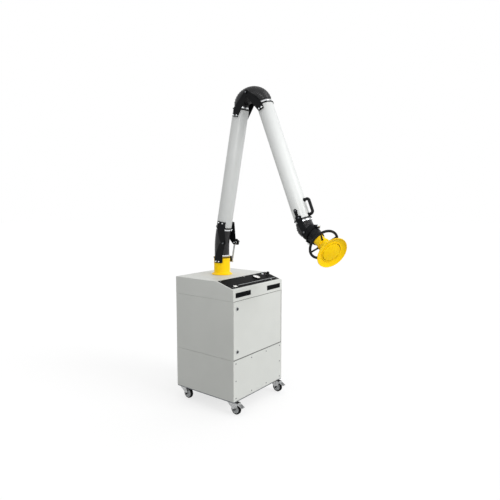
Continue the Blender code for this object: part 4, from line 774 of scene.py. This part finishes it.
def makeGauge(face):
    flat = slopeFrame(jointPlace("gauge_turn"))
    seat = face + hairline
    top = seat + gauge["height"]
    dial = top - gauge["faceDrop"]
    r, lip = gauge["radius"], gauge["lip"]
    stem, shaft = gauge["stem"], gauge["shaft"]
    floor, back = dial - gauge["recess"], seat - gauge["stemDepth"]
    profile = [(stem, back), (stem, seat), (r, seat), (r, top), (lip, top), (lip, floor), (shaft, floor),
        (shaft, back)]
    turnedPiece("gauge_bezel", eased(profile, gauge["edge"]), flat, blackMoulding, "cabinet", "gauge_case")
    turnedPiece("gauge_dial", capped([(lip - 0.0002, dial - 0.0003), (lip - 0.0002, dial + 0.0001)]), flat,
        dialEnamel, "cabinet", ())
    step = radians(gauge["sweep"]) / (gauge["ticks"] - 1)
    start = radians(90 + gauge["sweep"] / 2)
    marks = grow("gauge_marks", bpy.data.meshes.new("marks"), ringTree,
        {"Count": gauge["ticks"], "Radius": lip - gauge["tickLength"], "Start": start, "Step": -step,
        "Bar": (gauge["tickLength"], gauge["tickWidth"], gauge["ink"]), "Finish": dialInk},
        flat @ shift(z=dial + 0.00015))
    settle(marks, None, "cabinet")
    shape = bmesh.new()
    for i in range(gauge["numbers"]):
        text = bpy.data.curves.new("number", "FONT")
        text.body = str(2 * i)
        text.size = gauge["numberSize"]
        text.align_x, text.align_y = "CENTER", "CENTER"
        text.extrude = gauge["numberRise"]
        holder = link("number", text)
        bpy.context.view_layer.update()
        mesh = bpy.data.meshes.new_from_object(holder.evaluated_get(bpy.context.evaluated_depsgraph_get()))
        angle = start - step * 2 * i
        reach = lip - 2.4 * gauge["tickLength"]
        mesh.transform(flat @ shift(reach * cos(angle), reach * sin(angle), dial + 0.00018))
        shape.from_mesh(mesh)
        bpy.data.objects.remove(holder)
    shapePiece("gauge_numbers", shape, dialInk, "cabinet")
    turnedPiece("gauge_window", capped([(lip - 0.0001, top - 0.0009), (lip - 0.0001, top - 0.0003)]), flat,
        window, "cabinet")
    frame["nodes"]["gauge_needle"].data.materials.clear()
    frame["nodes"]["gauge_needle"].data.materials.append(pointerLacquer)


knob = dict(radius=0.011, height=0.018, skirt=0.0032, flutes=24, flute=0.022, pointer=(0.0012, 0.0078),
    scaleRadius=0.0165, scaleTicks=11, scaleSweep=270.0, scaleTick=(0.0030, 0.0007, 0.0002), shaft=0.003,
    shaftDepth=0.008, shaftBite=0.001)


def makeKnob(face):
    flat = slopeFrame(jointPlace("speed_turn"))
    seat = face + hairline
    r, h, shaft = knob["radius"], knob["height"], knob["shaft"]
    shape = bmesh.new()
    addTurned(shape, eased(capped([(r, seat), (r, seat + knob["skirt"])]), 0.0008, False), flat, 64)
    addTurned(shape, eased(capped([(r * 0.9, seat + knob["skirt"] * 0.8), (r * 0.84, seat + h)]), 0.0012,
        False), flat, 96, knob["flutes"], knob["flute"])
    addTurned(shape, capped([(shaft, seat - knob["shaftDepth"]), (shaft, seat + knob["shaftBite"])]), flat,
        24)
    shapePiece("speed_knob_cap", shape, blackMoulding, "knob", "speed_knob")
    shape = bmesh.new()
    w, reach = knob["pointer"]
    addBlock(shape, (-w / 2, 0.001, seat + h - 0.0002), (w / 2, 0.001 + reach, seat + h + 0.0003), flat,
        0.0001)
    shapePiece("speed_pointer", shape, whiteMoulding, "knob", ())
    step = radians(knob["scaleSweep"]) / (knob["scaleTicks"] - 1)
    marks = grow("speed_scale", bpy.data.meshes.new("marks"), ringTree,
        {"Count": knob["scaleTicks"], "Radius": knob["scaleRadius"], "Step": step,
        "Start": radians(90 - knob["scaleSweep"] / 2), "Bar": knob["scaleTick"], "Finish": scaleInk},
        flat @ shift(z=face + 0.0001))
    settle(marks, None, "cabinet")


lamp = dict(stand=0.0048, stem=0.0052, bore=0.0045, depth=0.010, foot=0.0001, flange=0.0080,
    flangeTop=0.0016, crown=(0.0060, 0.0024), dome=(0.0058, 0.0034), domeFoot=0.0008, domeStart=0.0018,
    domeTop=0.0052)
button = dict(radius=0.0050, rim=0.0036, dish=0.0030, rimDrop=0.0004, dishDrop=0.0010)
rocker = dict(edge=0.0009, sideGap=0.0010, half=0.0095, border=0.0022, height=0.0016)


def makeSignals():
    normal = slopeFrame(jointPlace("speed_turn")).to_3x3() @ upwards
    above = jointPlace("gauge_turn") + 2 * normal
    base = slopeFrame(roundAxis("signal_lamp", above)[1] - lamp["stand"] * normal)
    stem, bore, flange, foot, depth = (lamp[k] for k in ("stem", "bore", "flange", "foot", "depth"))
    turnedPiece("lamp_bezel", eased([(stem, -depth), (stem, foot), (flange, foot),
        (flange, lamp["flangeTop"]), lamp["crown"], (bore, lamp["flangeTop"]), (bore, -depth)], 0.0004),
        base, bandSteel, "cabinet", (), 40)
    wide, tall = lamp["dome"]
    dome = [(wide * cos(a), lamp["domeStart"] + tall * sin(a)) for a in (radians(15 * i) for i in range(6))]
    turnedPiece("lamp_lens", [(0.0, lamp["domeFoot"]), (wide, lamp["domeFoot"])] + dome
        + [(0.0, lamp["domeTop"])], base, lampLens, "cabinet", "signal_lamp", 40)
    low, high = roundAxis("push_button", above)
    rise = (high - low).length
    brim = rise - button["rimDrop"]
    profile = [(button["radius"], 0.0), (button["radius"], brim), (button["rim"], brim),
        (button["dish"], rise - button["dishDrop"])]
    turnedPiece("push_button_cap", eased(capped(profile), 0.0006, False), axisFrame(low, high - low),
        greyMoulding, "button", "push_button", 40)


def makeRocker(face):
    softPiece("power_rocker", "power_rocker_cap", rocker["edge"], whiteMoulding, "rocker",
        3)
    low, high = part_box("power_rocker")
    centre = jointPlace("power_rock")
    here = slopeFrame(centre)
    border = rocker["border"]
    x, y = (high.x - low.x) / 2 + rocker["sideGap"] + border, rocker["half"] + border
    lift = face - (slopeFrame(jointPlace("gauge_turn")).inverted() @ centre).z
    shape = bmesh.new()
    for first, last in fourBars(-x, -y, x, y, border):
        addBlock(shape, (*first, lift), (*last, lift + rocker["height"]), here, 0.0005)
    shapePiece("rocker_frame", shape, blackMoulding, "cabinet", ())


inlet = dict(pinLength=0.012, pin=(0.0040, 0.0020), pinPitch=0.0070, earthRise=0.0035)


def makeInlet():
    softPiece("mains_inlet", "inlet_housing", 0.0007, blackMoulding, "cabinet")
    low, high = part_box("mains_inlet")
    middle = (low + high) / 2
    w, h = inlet["pin"]
    shape = bmesh.new()
    for x, z in ((-inlet["pinPitch"], -inlet["earthRise"] / 2),
            (inlet["pinPitch"], -inlet["earthRise"] / 2), (0.0, inlet["earthRise"])):
        addBlock(shape, (middle.x + x - h / 2, low.y + 0.001, middle.z + z - w / 2),
            (middle.x + x + h / 2, low.y + 0.001 + inlet["pinLength"], middle.z + z + w / 2), ease=0.0004)
    shapePiece("inlet_pins", shape, nickelPin, "cabinet", ())


filters = dict(edge=0.0025, border=0.022, tab=(0.060, 0.0012, 0.020), tabFront=0.0030, tabTop=0.003)
seal = dict(edge=0.0042, width=0.011, depth=0.005, sunk=0.0004, hingeSide=0.020, ease=0.0012)


def makeInside():
    for node, finish, slot in (("prefilter", fleece, "filter_media"),
            ("fine_filter", cardFrame, "filter_media"), ("carbon_filter", zincPlate, "carbon_cassette")):
        softPiece(node, f"{node}_frame", filters["edge"], finish, "cabinet")
        low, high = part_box(node)
        if node != "prefilter":
            # Media shows behind an opening in the front of the frame
            b = filters["border"]
            shape = bmesh.new()
            addBlock(shape, (low.x + b, low.y - 0.0012, low.z + b * 0.7),
                (high.x - b, low.y + 0.001, high.z - b * 0.7), ease=0.0005)
            shapePiece(f"{node}_media", shape, carbon if "carbon" in node else fleece, "cabinet")
        w, t, drop = filters["tab"]
        front = low.y - filters["tabFront"]
        shape = bmesh.new()
        addBlock(shape, (-w / 2, front, high.z - drop), (w / 2, front + t, high.z - filters["tabTop"]))
        shapePiece(f"{node}_pull", shape, hoseRubber, "cabinet", ())
    for node, finish in (("fan_housing", zincPlate), ("fan_impeller", blackMoulding),
            ("inlet_duct", zincPlate)):
        mesh = frame["nodes"][node].data
        mesh.materials.clear()
        mesh.materials.append(finish)
    # Foam strip that the closed door presses on the rim
    low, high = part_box("door")
    edge, deep, end = seal["edge"], seal["depth"], cabinet["doorPin"] + seal["edge"]
    back = high.y - seal["sunk"]
    shape = bmesh.new()
    for (x0, z0), (x1, z1) in fourBars(low.x + edge, low.z + end, high.x - seal["hingeSide"], high.z - end,
            seal["width"]):
        addBlock(shape, (x0, back - deep, z0), (x1, back, z1), ease=seal["ease"])
    shapePiece("door_seal", shape, foamSeal, "door", ())


makeCabinet()
makeOutlets()
makeLocks()
panelFace = makeConsole()
makeGauge(panelFace)
makeKnob(panelFace)
makeSignals()
makeRocker(panelFace)
makeInlet()
makeInside()
print("cabinet: shells, door, console and filters")


# Casters
caster = dict(tyre=0.034, tread=0.0212, hub=0.0255, hubHalf=0.0122, axle=0.004, capRadius=0.0066,
    capHeight=0.0034, ribs=5, rib=(0.0125, 0.0030, 0.0172), plateBolt=0.0042, plateInset=0.010, race=0.0215,
    pedalTip=(-0.036, -0.0158), pedalSlope=30.1, pedalHalf=0.0115, grips=4, gripPitch=0.0062,
    gripStart=0.0040, gripHalf=(0.0014, 0.0010), raceHalf=0.004, raceDepths=(0.0052, 0.0014),
    boltHeight=0.0026, plateThickness=0.003, forkEdge=0.0006, plateEdge=0.0005, pedalEdge=0.0008)


def makeCasters():
    for mark in ("fl", "fr", "rl", "rr"):
        body, wheel = f"caster_{mark}", f"wheel_{mark}"
        axle = axisFrame(jointPlace(f"wheel_{mark}_roll"), sideways, upwards)
        half, r, hub = caster["tread"] / 2, caster["tyre"], caster["hub"]
        crown = [(r - 0.0002 - 0.0035 * (i / 4) ** 2, half * (0.45 + 0.5 * i / 4)) for i in range(5)]
        tread = [(u, -v) for u, v in reversed(crown)] + crown
        turnedPiece(f"tyre_{mark}", eased([(hub + hairline, -half)] + tread + [(hub + hairline, half)],
            0.0008, steps=2), axle, tyreRubber, wheel, f"caster_tyre_{mark}", 72)
        w, a = caster["hubHalf"], caster["axle"] + 0.0008
        turnedPiece(f"hub_{mark}", eased([(a, -w), (a * 1.9, -w), (a * 2.1, -w * 0.62),
            (hub * 0.80, -w * 0.30), (hub * 0.86, -w * 0.84), (hub, -w * 0.84), (hub, w * 0.84),
            (hub * 0.86, w * 0.84), (hub * 0.80, w * 0.30), (a * 2.1, w * 0.62), (a * 1.9, w), (a, w)],
            0.0007, steps=2), axle, hubMoulding, wheel, f"caster_hub_{mark}", 56)
        length, thick, wide = caster["rib"]
        ribs = grow(f"hub_ribs_{mark}", bpy.data.meshes.new("ribs"), ringTree,
            {"Count": caster["ribs"], "Radius": (hub * 0.82 + a * 2) / 2, "Start": 0.3,
            "Step": 2 * pi / caster["ribs"], "Bar": (length, thick, wide), "Finish": hubMoulding}, axle)
        settle(ribs, None, wheel, ())
        softPiece(f"caster_fork_{mark}", f"fork_{mark}", caster["forkEdge"], zincPlate, body)
        low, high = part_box(f"caster_fork_{mark}")
        # Black caps on the axle ends: their black is painted shade for the dark axle recess at the hub's
        # middle
        shape = bmesh.new()
        c, ch = caster["capRadius"], caster["capHeight"]
        for side, end in ((-1, low.x), (1, high.x)):
            spot = Vector((end - side * 0.002, axle.translation.y, axle.translation.z))
            outward = axisFrame(spot, side * sideways, upwards)
            addTurned(shape, eased(capped([(c, 0.0), (c, ch * 0.55), (c * 0.7, ch)]), 0.0006, False, 2),
                outward, 32)
        shapePiece(f"axle_shade_caps_{mark}", shape, blackMoulding, body, (), 25)
        swivel = jointPlace(f"caster_{mark}_swivel")
        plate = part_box(f"caster_plate_{mark}")
        softPiece(f"caster_plate_{mark}", f"top_plate_{mark}", caster["plateEdge"], zincPlate, "cabinet")
        level = plate[1].z - caster["plateThickness"]
        inset = (plate[1].x - plate[0].x) / 2 - caster["plateInset"] * 0.75
        spots = [((swivel.x + sx * inset, swivel.y + sy * inset, level), (0, 0, -1))
            for sx in (-1, 1) for sy in (-1, 1)]
        screwSet(f"plate_bolts_{mark}", "cabinet", spots, caster["plateBolt"], caster["boltHeight"])
        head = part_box(f"caster_fork_{mark}")[1].z
        near, far = caster["race"] - caster["raceHalf"], caster["race"] + caster["raceHalf"]
        deep, shallow = caster["raceDepths"]
        profile = [(near, -deep), (far, -deep), (far, -shallow), (near, -shallow)]
        turnedPiece(f"swivel_race_{mark}", eased(profile, 0.0012, steps=3), shift(swivel.x, swivel.y, head),
            bandSteel, body, (), 48)
        if mark in ("fl", "fr"):
            softPiece(f"brake_pedal_{mark}", f"pedal_{mark}", caster["pedalEdge"], zincPlate,
                f"pedal_{mark}")
            # Rubber grips across the pedal's sloping top
            tip = jointPlace(f"brake_{mark}_press") + Vector((0, *caster["pedalTip"]))
            slope = shift(*tip) @ turn(caster["pedalSlope"], "X")
            reach, (w, t) = caster["pedalHalf"], caster["gripHalf"]
            shape = bmesh.new()
            for i in range(caster["grips"]):
                y = caster["gripStart"] + caster["gripPitch"] * i
                addBlock(shape, (-reach, y - w, -t), (reach, y + w, t), slope, 0.0005)
            shapePiece(f"pedal_grip_{mark}", shape, hoseRubber, f"pedal_{mark}", ())


makeCasters()
print("casters: wheels, forks, plates and brakes")


# Arm
tube = dict(radius=0.050, wall=0.003, spigot=0.024, hoodSpigot=0.010, band=0.0031, bandWidth=0.0068,
    bandInset=0.0012, rim=0.0008)
collar = dict(radius=0.0535, foot=0.0685, footHeight=0.019, height=0.119, bore=0.0483)
lowerLow, lowerHigh = roundAxis("lower_tube", jointPlace("elbow_bend"))
upperLow, upperHigh = roundAxis("upper_tube", jointPlace("elbow_bend"))
lowerWay = (lowerHigh - lowerLow).normalized()
upperWay = (upperHigh - upperLow).normalized()
lowerLow, lowerHigh = lowerLow + tube["spigot"] * lowerWay, lowerHigh - tube["spigot"] * lowerWay
upperLow, upperHigh = upperLow + tube["hoodSpigot"] * upperWay, upperHigh - tube["spigot"] * upperWay
collarTop = jointPlace("arm_turn") + collar["height"] * upwards


def makeTube(name, node, low, high, body):
    r, wall = tube["radius"], tube["wall"]
    length = (high - low).length
    turnedPiece(name, eased([(r - wall, 0.0), (r, 0.0), (r, length), (r - wall, length)], tube["rim"],
        steps=3), axisFrame(low, high - low), tubeCoat, body, node, 96)


def endBand(name, end, inward, radius, body):
    place = axisFrame(end, inward)
    low, high, out = tube["bandInset"], tube["bandInset"] + tube["bandWidth"], radius + tube["band"]
    turnedPiece(name, eased([(radius + hairline, low), (out, low), (out, high), (radius + hairline, high)],
        0.0007, steps=3), place, bracketCoat, body, (), 96)


def makeTubes():
    makeTube("lower_tube_coated", "lower_tube", lowerLow, lowerHigh, "lower_arm")
    makeTube("upper_tube_coated", "upper_tube", upperLow, upperHigh, "upper_arm")
    endBand("band_lower_low", lowerLow, lowerWay, tube["radius"], "lower_arm")
    endBand("band_lower_high", lowerHigh, -lowerWay, tube["radius"], "lower_arm")
    endBand("band_upper_high", upperHigh, -upperWay, tube["radius"], "upper_arm")
    endBand("band_upper_low", upperLow, upperWay, tube["radius"], "upper_arm")
    endBand("band_collar", collarTop, -upwards, collar["radius"], "arm_base")
    c, f, fh, h, b = (collar[k] for k in ("radius", "foot", "footHeight", "height", "bore"))
    flare = [(c + (f - c) * (1 - i / 6) ** 2.2, fh * 0.25 + fh * 0.75 * i / 6) for i in range(7)]
    turnedPiece("collar_moulding", [(b, hairline), (f - 0.0010, hairline), (f, 0.0012)] + flare
        + eased([(c, h - 0.004), (c, h), (b, h)], 0.0012, False, 3) + [(b, h - 0.002)],
        axisFrame(jointPlace("arm_turn"), upwards), yellowMoulding, "arm_base", "swivel_collar",
        96)


hose = dict(valley=0.0465, crest=0.0494, sleeve=0.0488, cuff=0.024, hoodCuff=0.012, elbowHandle=0.072,
    shoulderHandle=0.060, hoodHandle=0.026, elbowRibs=20, hoodRibs=9, sides=64, step=0.0011, skirt=0.004,
    pathSteps=120)
gimbal = dict(shoulder=0.006)


def hosePath(start, leave, end, arrive, cuff, handle):
    first, last = start + cuff * leave, end - cuff * arrive
    return [start] + cubic((first, first + handle * leave, last - handle * arrive, last),
        hose["pathSteps"]) + [end]


def pathLength(path):
    return sum((b - a).length for a, b in zip(path, path[1:]))


def makeHose(name, node, start, leave, end, arrive, cuff, handle, ribs):
    path = hosePath(start, leave, end, arrive, cuff, handle)
    made = sweepAlong(name, path, {"Radius": hose["valley"] if ribs else hose["sleeve"],
        "Rib height": hose["crest"] - hose["valley"] if ribs else 0.0,
        "Rib pitch": (pathLength(path) - 2 * cuff) / max(ribs, 1), "Cuff": cuff, "Sides": hose["sides"],
        "Step": hose["step"], "Finish": hoseRubber})
    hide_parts(node)
    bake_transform(made)


def cutPath(path, low, high):
    # The stretch of a path between two distances from its start
    taken, here = [], 0.0
    for a, b in zip(path, path[1:]):
        there = here + (b - a).length
        if here < low < there:
            taken.append(a.lerp(b, (low - here) / (there - here)))
        if low <= here <= high:
            taken.append(a)
        if here < high < there:
            taken.append(a.lerp(b, (high - here) / (there - here)))
        here = there
    return taken if high < here else taken + [path[-1]]


def makeBellows(name, node, start, leave, end, arrive, cuff, handle, ribs, bodies):
    # One ring to a rib, tucked under its neighbours.
    path = hosePath(start, leave, end, arrive, cuff, handle)
    length = pathLength(path)
    pitch, skirt = (length - 2 * cuff) / ribs, hose["skirt"]
    settings = {"Radius": hose["valley"], "Rib height": hose["crest"] - hose["valley"], "Rib pitch": pitch,
        "Cuff": skirt, "Sides": hose["sides"], "Step": hose["step"], "Finish": hoseRubber}
    plain = {**settings, "Rib height": 0.0}
    settle(sweepAlong(f"{name}_cuff_a", cutPath(path, 0.0, cuff + skirt), plain), None, bodies[0], node)
    settle(sweepAlong(f"{name}_cuff_b", cutPath(path, length - cuff - skirt, length), plain), None,
        bodies[1], node)
    for k in range(ribs):
        low = cuff + pitch * k
        ring = sweepAlong(f"{name}_rib_{k:02d}", cutPath(path, low - skirt, low + pitch + skirt), settings)
        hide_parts(node)
        edges = cutPath(path, low, low + pitch)
        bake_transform(ring)


tiltFrame = axisFrame(jointPlace("hood_tilt"), jointPlace("hood_tilt") - jointPlace("hood_swing"))


def makeHoses():
    gap = hairline
    makeHose("shoulder_sleeve", "shoulder_hose", collarTop + gap * upwards, upwards,
        lowerLow - gap * lowerWay, lowerWay, hose["cuff"], hose["shoulderHandle"], 0)
    makeBellows("elbow_bellows", "elbow_hose", lowerHigh + gap * lowerWay, lowerWay,
        upperHigh + gap * upperWay, -upperWay, hose["cuff"], hose["elbowHandle"], hose["elbowRibs"],
        ("lower_arm", "upper_arm"))
    hoodWay = tiltFrame.to_3x3() @ upwards
    makeHose("hood_bellows", "hood_hose", upperLow - gap * upperWay, -upperWay,
        jointPlace("hood_tilt") + (gimbal["shoulder"] + gap) * hoodWay, -hoodWay, hose["hoodCuff"],
        hose["hoodHandle"], hose["hoodRibs"])


clamp = dict(width=0.0090, thickness=0.0012, inset=0.0030, housing=(0.016, 0.011, 0.0085), screw=0.0036)


def hoseClamp(name, end, way, radius, body, turned):
    place = axisFrame(end, way)
    r, t, low = radius + 0.0002, clamp["thickness"], clamp["inset"]
    high = low + clamp["width"]
    shape = bmesh.new()
    addTurned(shape, eased([(r, low), (r + t, low), (r + t, high), (r, high)], 0.0004, steps=2), place, 96)
    here = place @ turn(turned, "Z") @ shift(x=r + t)
    w, h, d = clamp["housing"]
    middle = (low + high) / 2
    addBlock(shape, (-0.0008, -w / 2, middle - h / 2), (d * 0.7, w / 2, middle + h / 2), here, 0.0014)
    screw = here @ shift(d * 0.35, w / 2, middle) @ turn(-90, "X")
    addTurned(shape, eased(capped([(clamp["screw"], -0.001), (clamp["screw"], 0.0035),
        (clamp["screw"] * 0.8, 0.0045)]), 0.0004, False, 2), screw, 12)
    shapePiece(name, shape, bandSteel, body, (), 30)


def makeClamps():
    valley, sleeve = hose["valley"], hose["sleeve"]
    hoseClamp("clamp_collar", collarTop, upwards, sleeve, "arm_base", 60)
    hoseClamp("clamp_shoulder", lowerLow, -lowerWay, sleeve, "lower_arm", 60)
    hoseClamp("clamp_elbow_low", lowerHigh, lowerWay, valley, "lower_arm", 37)
    hoseClamp("clamp_elbow_high", upperHigh, upperWay, valley, "upper_arm", 35)
    hoseClamp("clamp_hood", upperLow, -upperWay, valley, "upper_arm", 60)


bracket = dict(fold=0.0009, strapFold=0.0007, screwRadius=0.0058, screwHeight=0.0032, innerFace=0.0546,
    outerFace=0.0589, headFace=0.0642, boltFace=0.0506)


def makeBrackets():
    for node, body in (("shoulder_bracket", "arm_base"), ("lower_arm_shoulder_bracket", "lower_arm"),
            ("lower_arm_elbow_bracket", "lower_arm"), ("upper_arm_elbow_bracket", "upper_arm"),
            ("upper_arm_hood_bracket", "upper_arm"), ("gimbal_collar", "gimbal")):
        softPiece(node, f"{node}_coated", bracket["fold"], bracketCoat, body)
    softPiece("brace_strap", "brace_strap_plated", bracket["strapFold"], strapCoat, "arm_base")
    inner, outer, head = bracket["innerFace"], bracket["outerFace"], bracket["headFace"]
    r, h = bracket["screwRadius"], bracket["screwHeight"]

    def tabScrews(end, way, forward, spots, face):
        # spots are (distance across, distance along the tube), on both sides of the tube
        return [(end + s * face * sideways + d * way + y * forward, s * sideways)
            for s in (-1, 1) for y, d in spots]

    ahead = upwards.cross(sideways) * -1
    screwSet("collar_tab_screws", "arm_base", tabScrews(collarTop, -upwards, ahead,
        ((0.022, 0.029), (-0.006, 0.029)), outer), r, h, bandSteel)
    lowerAhead = lowerWay.cross(sideways) * -1
    upperBack = upperWay.cross(sideways)
    spots = tabScrews(lowerLow, lowerWay, lowerAhead, ((0.027, 0.036), (-0.006, 0.036)), inner)
    spots += tabScrews(lowerHigh, -lowerWay, lowerAhead, ((0.0145, 0.045), (-0.009, 0.045)), inner)
    spots += [(jointPlace("shoulder_lean") + bracket["boltFace"] * sideways, -sideways)]
    screwSet("lower_arm_screws", "lower_arm", spots, r, h, bandSteel)
    spots = [(jointPlace("shoulder_lean") - head * sideways, -sideways)]
    spots += [(jointPlace("elbow_bend") + s * head * sideways, s * sideways) for s in (-1, 1)]
    screwSet("lower_arm_pivots", "lower_arm", spots, r, h, darkZinc)
    spots = tabScrews(upperHigh, -upperWay, upperBack, ((0.013, 0.028), (-0.007, 0.028)), outer)
    screwSet("upper_arm_screws", "upper_arm", spots, r, h, bandSteel)
    spots = tabScrews(upperLow, upperWay, -upperBack, ((0.008, 0.014), (0.0, 0.060)), inner)
    spots += [(jointPlace("hood_tilt") + s * head * sideways, s * sideways) for s in (-1, 1)]
    screwSet("upper_arm_pivots", "upper_arm", spots, r, h, darkZinc)


friction = dict(radius=0.022, width=0.026, lobes=5, lobe=0.11, stem=0.010)


def makeFrictionKnob():
    centre = jointPlace("friction_knob_turn")
    place = axisFrame(Vector((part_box("shoulder_knob")[0].x, centre.y, centre.z)), sideways, upwards)
    r, w = friction["radius"] / (1 + friction["lobe"]), friction["width"]
    shape = bmesh.new()
    addTurned(shape, eased(capped([(friction["stem"], 0.0), (friction["stem"], w * 0.4)]), 0.001, False),
        place, 48)
    addTurned(shape, eased(capped([(r * 0.9, w * 0.3), (r, w * 0.45), (r, w * 0.8), (r * 0.85, w)]), 0.004,
        False, 5), place, 80, friction["lobes"], friction["lobe"])
    shapePiece("friction_star_knob", shape, blackMoulding, "friction_knob", "shoulder_knob")


handle = dict(radius=0.009, length=0.090, stand=0.029, back=0.063, corner=0.015, flange=0.0125,
    flangeHeight=0.004)


def makeHandle():
    front = upperWay.cross(sideways) * -1
    r, corner = tube["radius"], handle["corner"]
    foot, grip = r + 0.0006, r + handle["stand"]
    low = handle["back"] - handle["length"] / 2
    high = low + handle["length"]

    def spot(out, up):
        return upperLow + up * upperWay + out * front

    arc = [radians(90 * i / 8) for i in range(9)]
    points = [spot(foot, low)]
    points += [spot(grip - corner + corner * sin(a), low + corner - corner * cos(a)) for a in arc]
    points += [spot(grip - corner + corner * cos(a), high - corner + corner * sin(a)) for a in arc]
    points += [spot(foot, high)]
    made = sweepAlong("pull_handle_grip", points,
        {"Radius": handle["radius"], "Rib height": 0.0, "Rib pitch": 1.0, "Cuff": 0.0, "Sides": 24,
        "Step": 0.002, "Finish": blackMoulding})
    settle(made, None, "upper_arm", "pull_handle")
    shape = bmesh.new()
    for up in (low, high):
        place = axisFrame(spot(r - 0.0012, up), front)
        f, h = handle["flange"], handle["flangeHeight"]
        addTurned(shape, eased(capped([(f, 0.0), (f, h * 0.7), (handle["radius"] + 0.001, h + 0.001)]),
            0.0012, False, 3), place, 40)
    shapePiece("handle_feet", shape, blackMoulding, "upper_arm", ())


makeTubes()
makeHoses()
makeClamps()
makeBrackets()
makeFrictionKnob()
makeHandle()
print("arm: tubes, hoses, clamps, brackets and handle")


# Hood
hood = dict(neck=0.040, neckLength=0.050, ball=0.0456, bellNeck=0.033, throat=0.062, rim=0.0947,
    wall=0.0022, dish=0.0615, dishDepth=0.010, bowl=1.8, bead=0.0019, ringRadius=0.088, ringTube=0.0075,
    ringPlace=0.0565, hubWall=0.005, hubLength=0.010, spokes=4, spoke=0.0050, pin=0.0112, pinSeat=0.0568,
    pinHead=0.0105, slot=(0.0535, 0.0565), bridges=4, bridge=0.010, plate=0.003, neckRibs=4, neckRib=0.0013,
    neckPitch=0.0052)
rimEnd, neckEnd = roundAxis("hood_bell", jointPlace("hood_swing"))


def hoodFrame():
    z = (neckEnd - rimEnd).normalized()
    y = jointAxis("hood_swing").normalized()
    x = y.cross(z).normalized()
    made = Matrix((x, z.cross(x), z)).transposed().to_4x4()
    made.translation = jointPlace("hood_swing")
    return made


def makeHood():
    place = hoodFrame()
    start = -hood["neckLength"] - hairline
    front = (place.inverted() @ rimEnd).z
    throat = start - hood["throat"]
    r, rim, wall, dish = hood["bellNeck"], hood["rim"], hood["wall"], hood["dish"]
    ledge = front + hood["dishDepth"]
    flare = cubic((Vector((r, throat)), Vector((r, throat - 0.030)), Vector((dish - 0.004, ledge + 0.008)),
        Vector((rim - 0.004, front + 0.0042))), 16)
    bead = hood["bead"]
    lip = [(rim - bead + bead * cos(a), front + bead + bead * sin(a))
        for a in (radians(80 - 20 * i) for i in range(10))]
    mouth, sink = rim - 2 * bead, hood["dishDepth"] - 0.0012
    bowl = [(mouth - (mouth - dish) * t, ledge - sink * (1 - t) ** hood["bowl"])
        for t in (i / 10 for i in range(11))]
    inside = [(dish, ledge + 0.0006), (dish - 0.004, ledge + 0.0006), (dish - 0.004, ledge + 0.003),
        (r - wall, throat)]
    turnedPiece("hood_bell_moulded", [(r - wall, start), (r, start), (r, throat)] + flare[1:] + lip + bowl
        + inside, place, yellowMoulding, "hood", "hood_bell", 96)
    # Baffle with a slot round its edge, crossed by bridges
    high = ledge + hairline
    low = high - hood["plate"]
    near, far = hood["slot"]
    shape = bmesh.new()
    addTurned(shape, eased([(0.0, low), (near, low), (near, high), (0.0, high)], 0.0010, False, 3), place,
        96)
    addTurned(shape, eased([(far, low), (dish - 0.0004, low), (dish - 0.0004, high), (far, high)], 0.0008,
        steps=3), place, 96)
    for i in range(hood["bridges"]):
        addBlock(shape, (near - 0.002, -hood["bridge"] / 2, low + 0.0006),
            (far + 0.002, hood["bridge"] / 2, high - 0.0002), place @ turn(360 * i / hood["bridges"], "Z"),
            0.0004)
    shapePiece("inlet_baffle", shape, yellowMoulding, "hood", "inlet_grid")
    n, length, ball = hood["neck"], hood["neckLength"], hood["ball"]
    arc = [(ball * cos(a), ball * sin(a)) for a in (radians(29 - 4 * i) for i in range(15))]
    inner, proud, pitch = n - 0.0036, hood["neckRib"], hood["neckPitch"]
    ribs = []
    for i in range(hood["neckRibs"]):
        z = arc[-1][1] - 0.006 - pitch * i
        ribs += [(n, z), (n + proud, z - pitch * 0.2), (n + proud, z - pitch * 0.5), (n, z - pitch * 0.7)]
    shape = bmesh.new()
    addTurned(shape, [(inner, arc[0][1])] + arc + [(n, arc[-1][1] - 0.002)] + ribs
        + eased([(n, -length + 0.003), (n, -length), (inner, -length)], 0.0009, False, 3), place, 96)
    shapePiece("hood_swivel_neck", shape, blackMoulding, "hood", "hood_neck")
    level = start - hood["ringPlace"]
    shape = bmesh.new()
    tubeLoop = [(hood["ringRadius"] + hood["ringTube"] * cos(a), level + hood["ringTube"] * sin(a))
        for a in (2 * pi * i / 20 for i in range(20))]
    addTurned(shape, tubeLoop, place, 112)
    hubLow, hubHigh = level - hood["hubLength"] / 2, level + hood["hubLength"] / 2
    h0, h1 = r + hairline, r + hood["hubWall"]
    for i in range(hood["spokes"]):
        spin = place @ turn(360 * (i + 0.5) / hood["spokes"], "Z") @ shift(z=level) @ turn(90, "Y")
        s = hood["spoke"]
        addTurned(shape, capped([(s * 1.3, h1 - 0.001), (s, h1 + 0.008), (s, hood["ringRadius"])]), spin,
            20)
    shapePiece("grip_ring_moulded", shape, blackMoulding, "hood", "grip_ring")
    turnedPiece("grip_hub_moulded", eased([(h0, hubLow), (h1, hubLow), (h1, hubHigh), (h0, hubHigh)],
        0.0012, steps=3), place, yellowMoulding, "hood", (), 96)
    # Bright bolts on the swing axis, cut for a hexagon key
    shape = bmesh.new()
    pin, seat, head = hood["pin"], hood["pinSeat"], hood["pinHead"]
    for side in (-1, 1):
        bolt = place @ turn(-90 * side, "X")
        addTurned(shape, eased(capped([(pin, seat), (pin, seat + head - 0.0012),
            (pin * 0.62, seat + head - 0.0012), (pin * 0.54, seat + head * 0.45)]), 0.0010, False, 2), bolt,
            36)
    shapePiece("swing_bolts", shape, bandSteel, "hood", ())


makeHood()
print("hood: bell, disc, neck and grip ring")
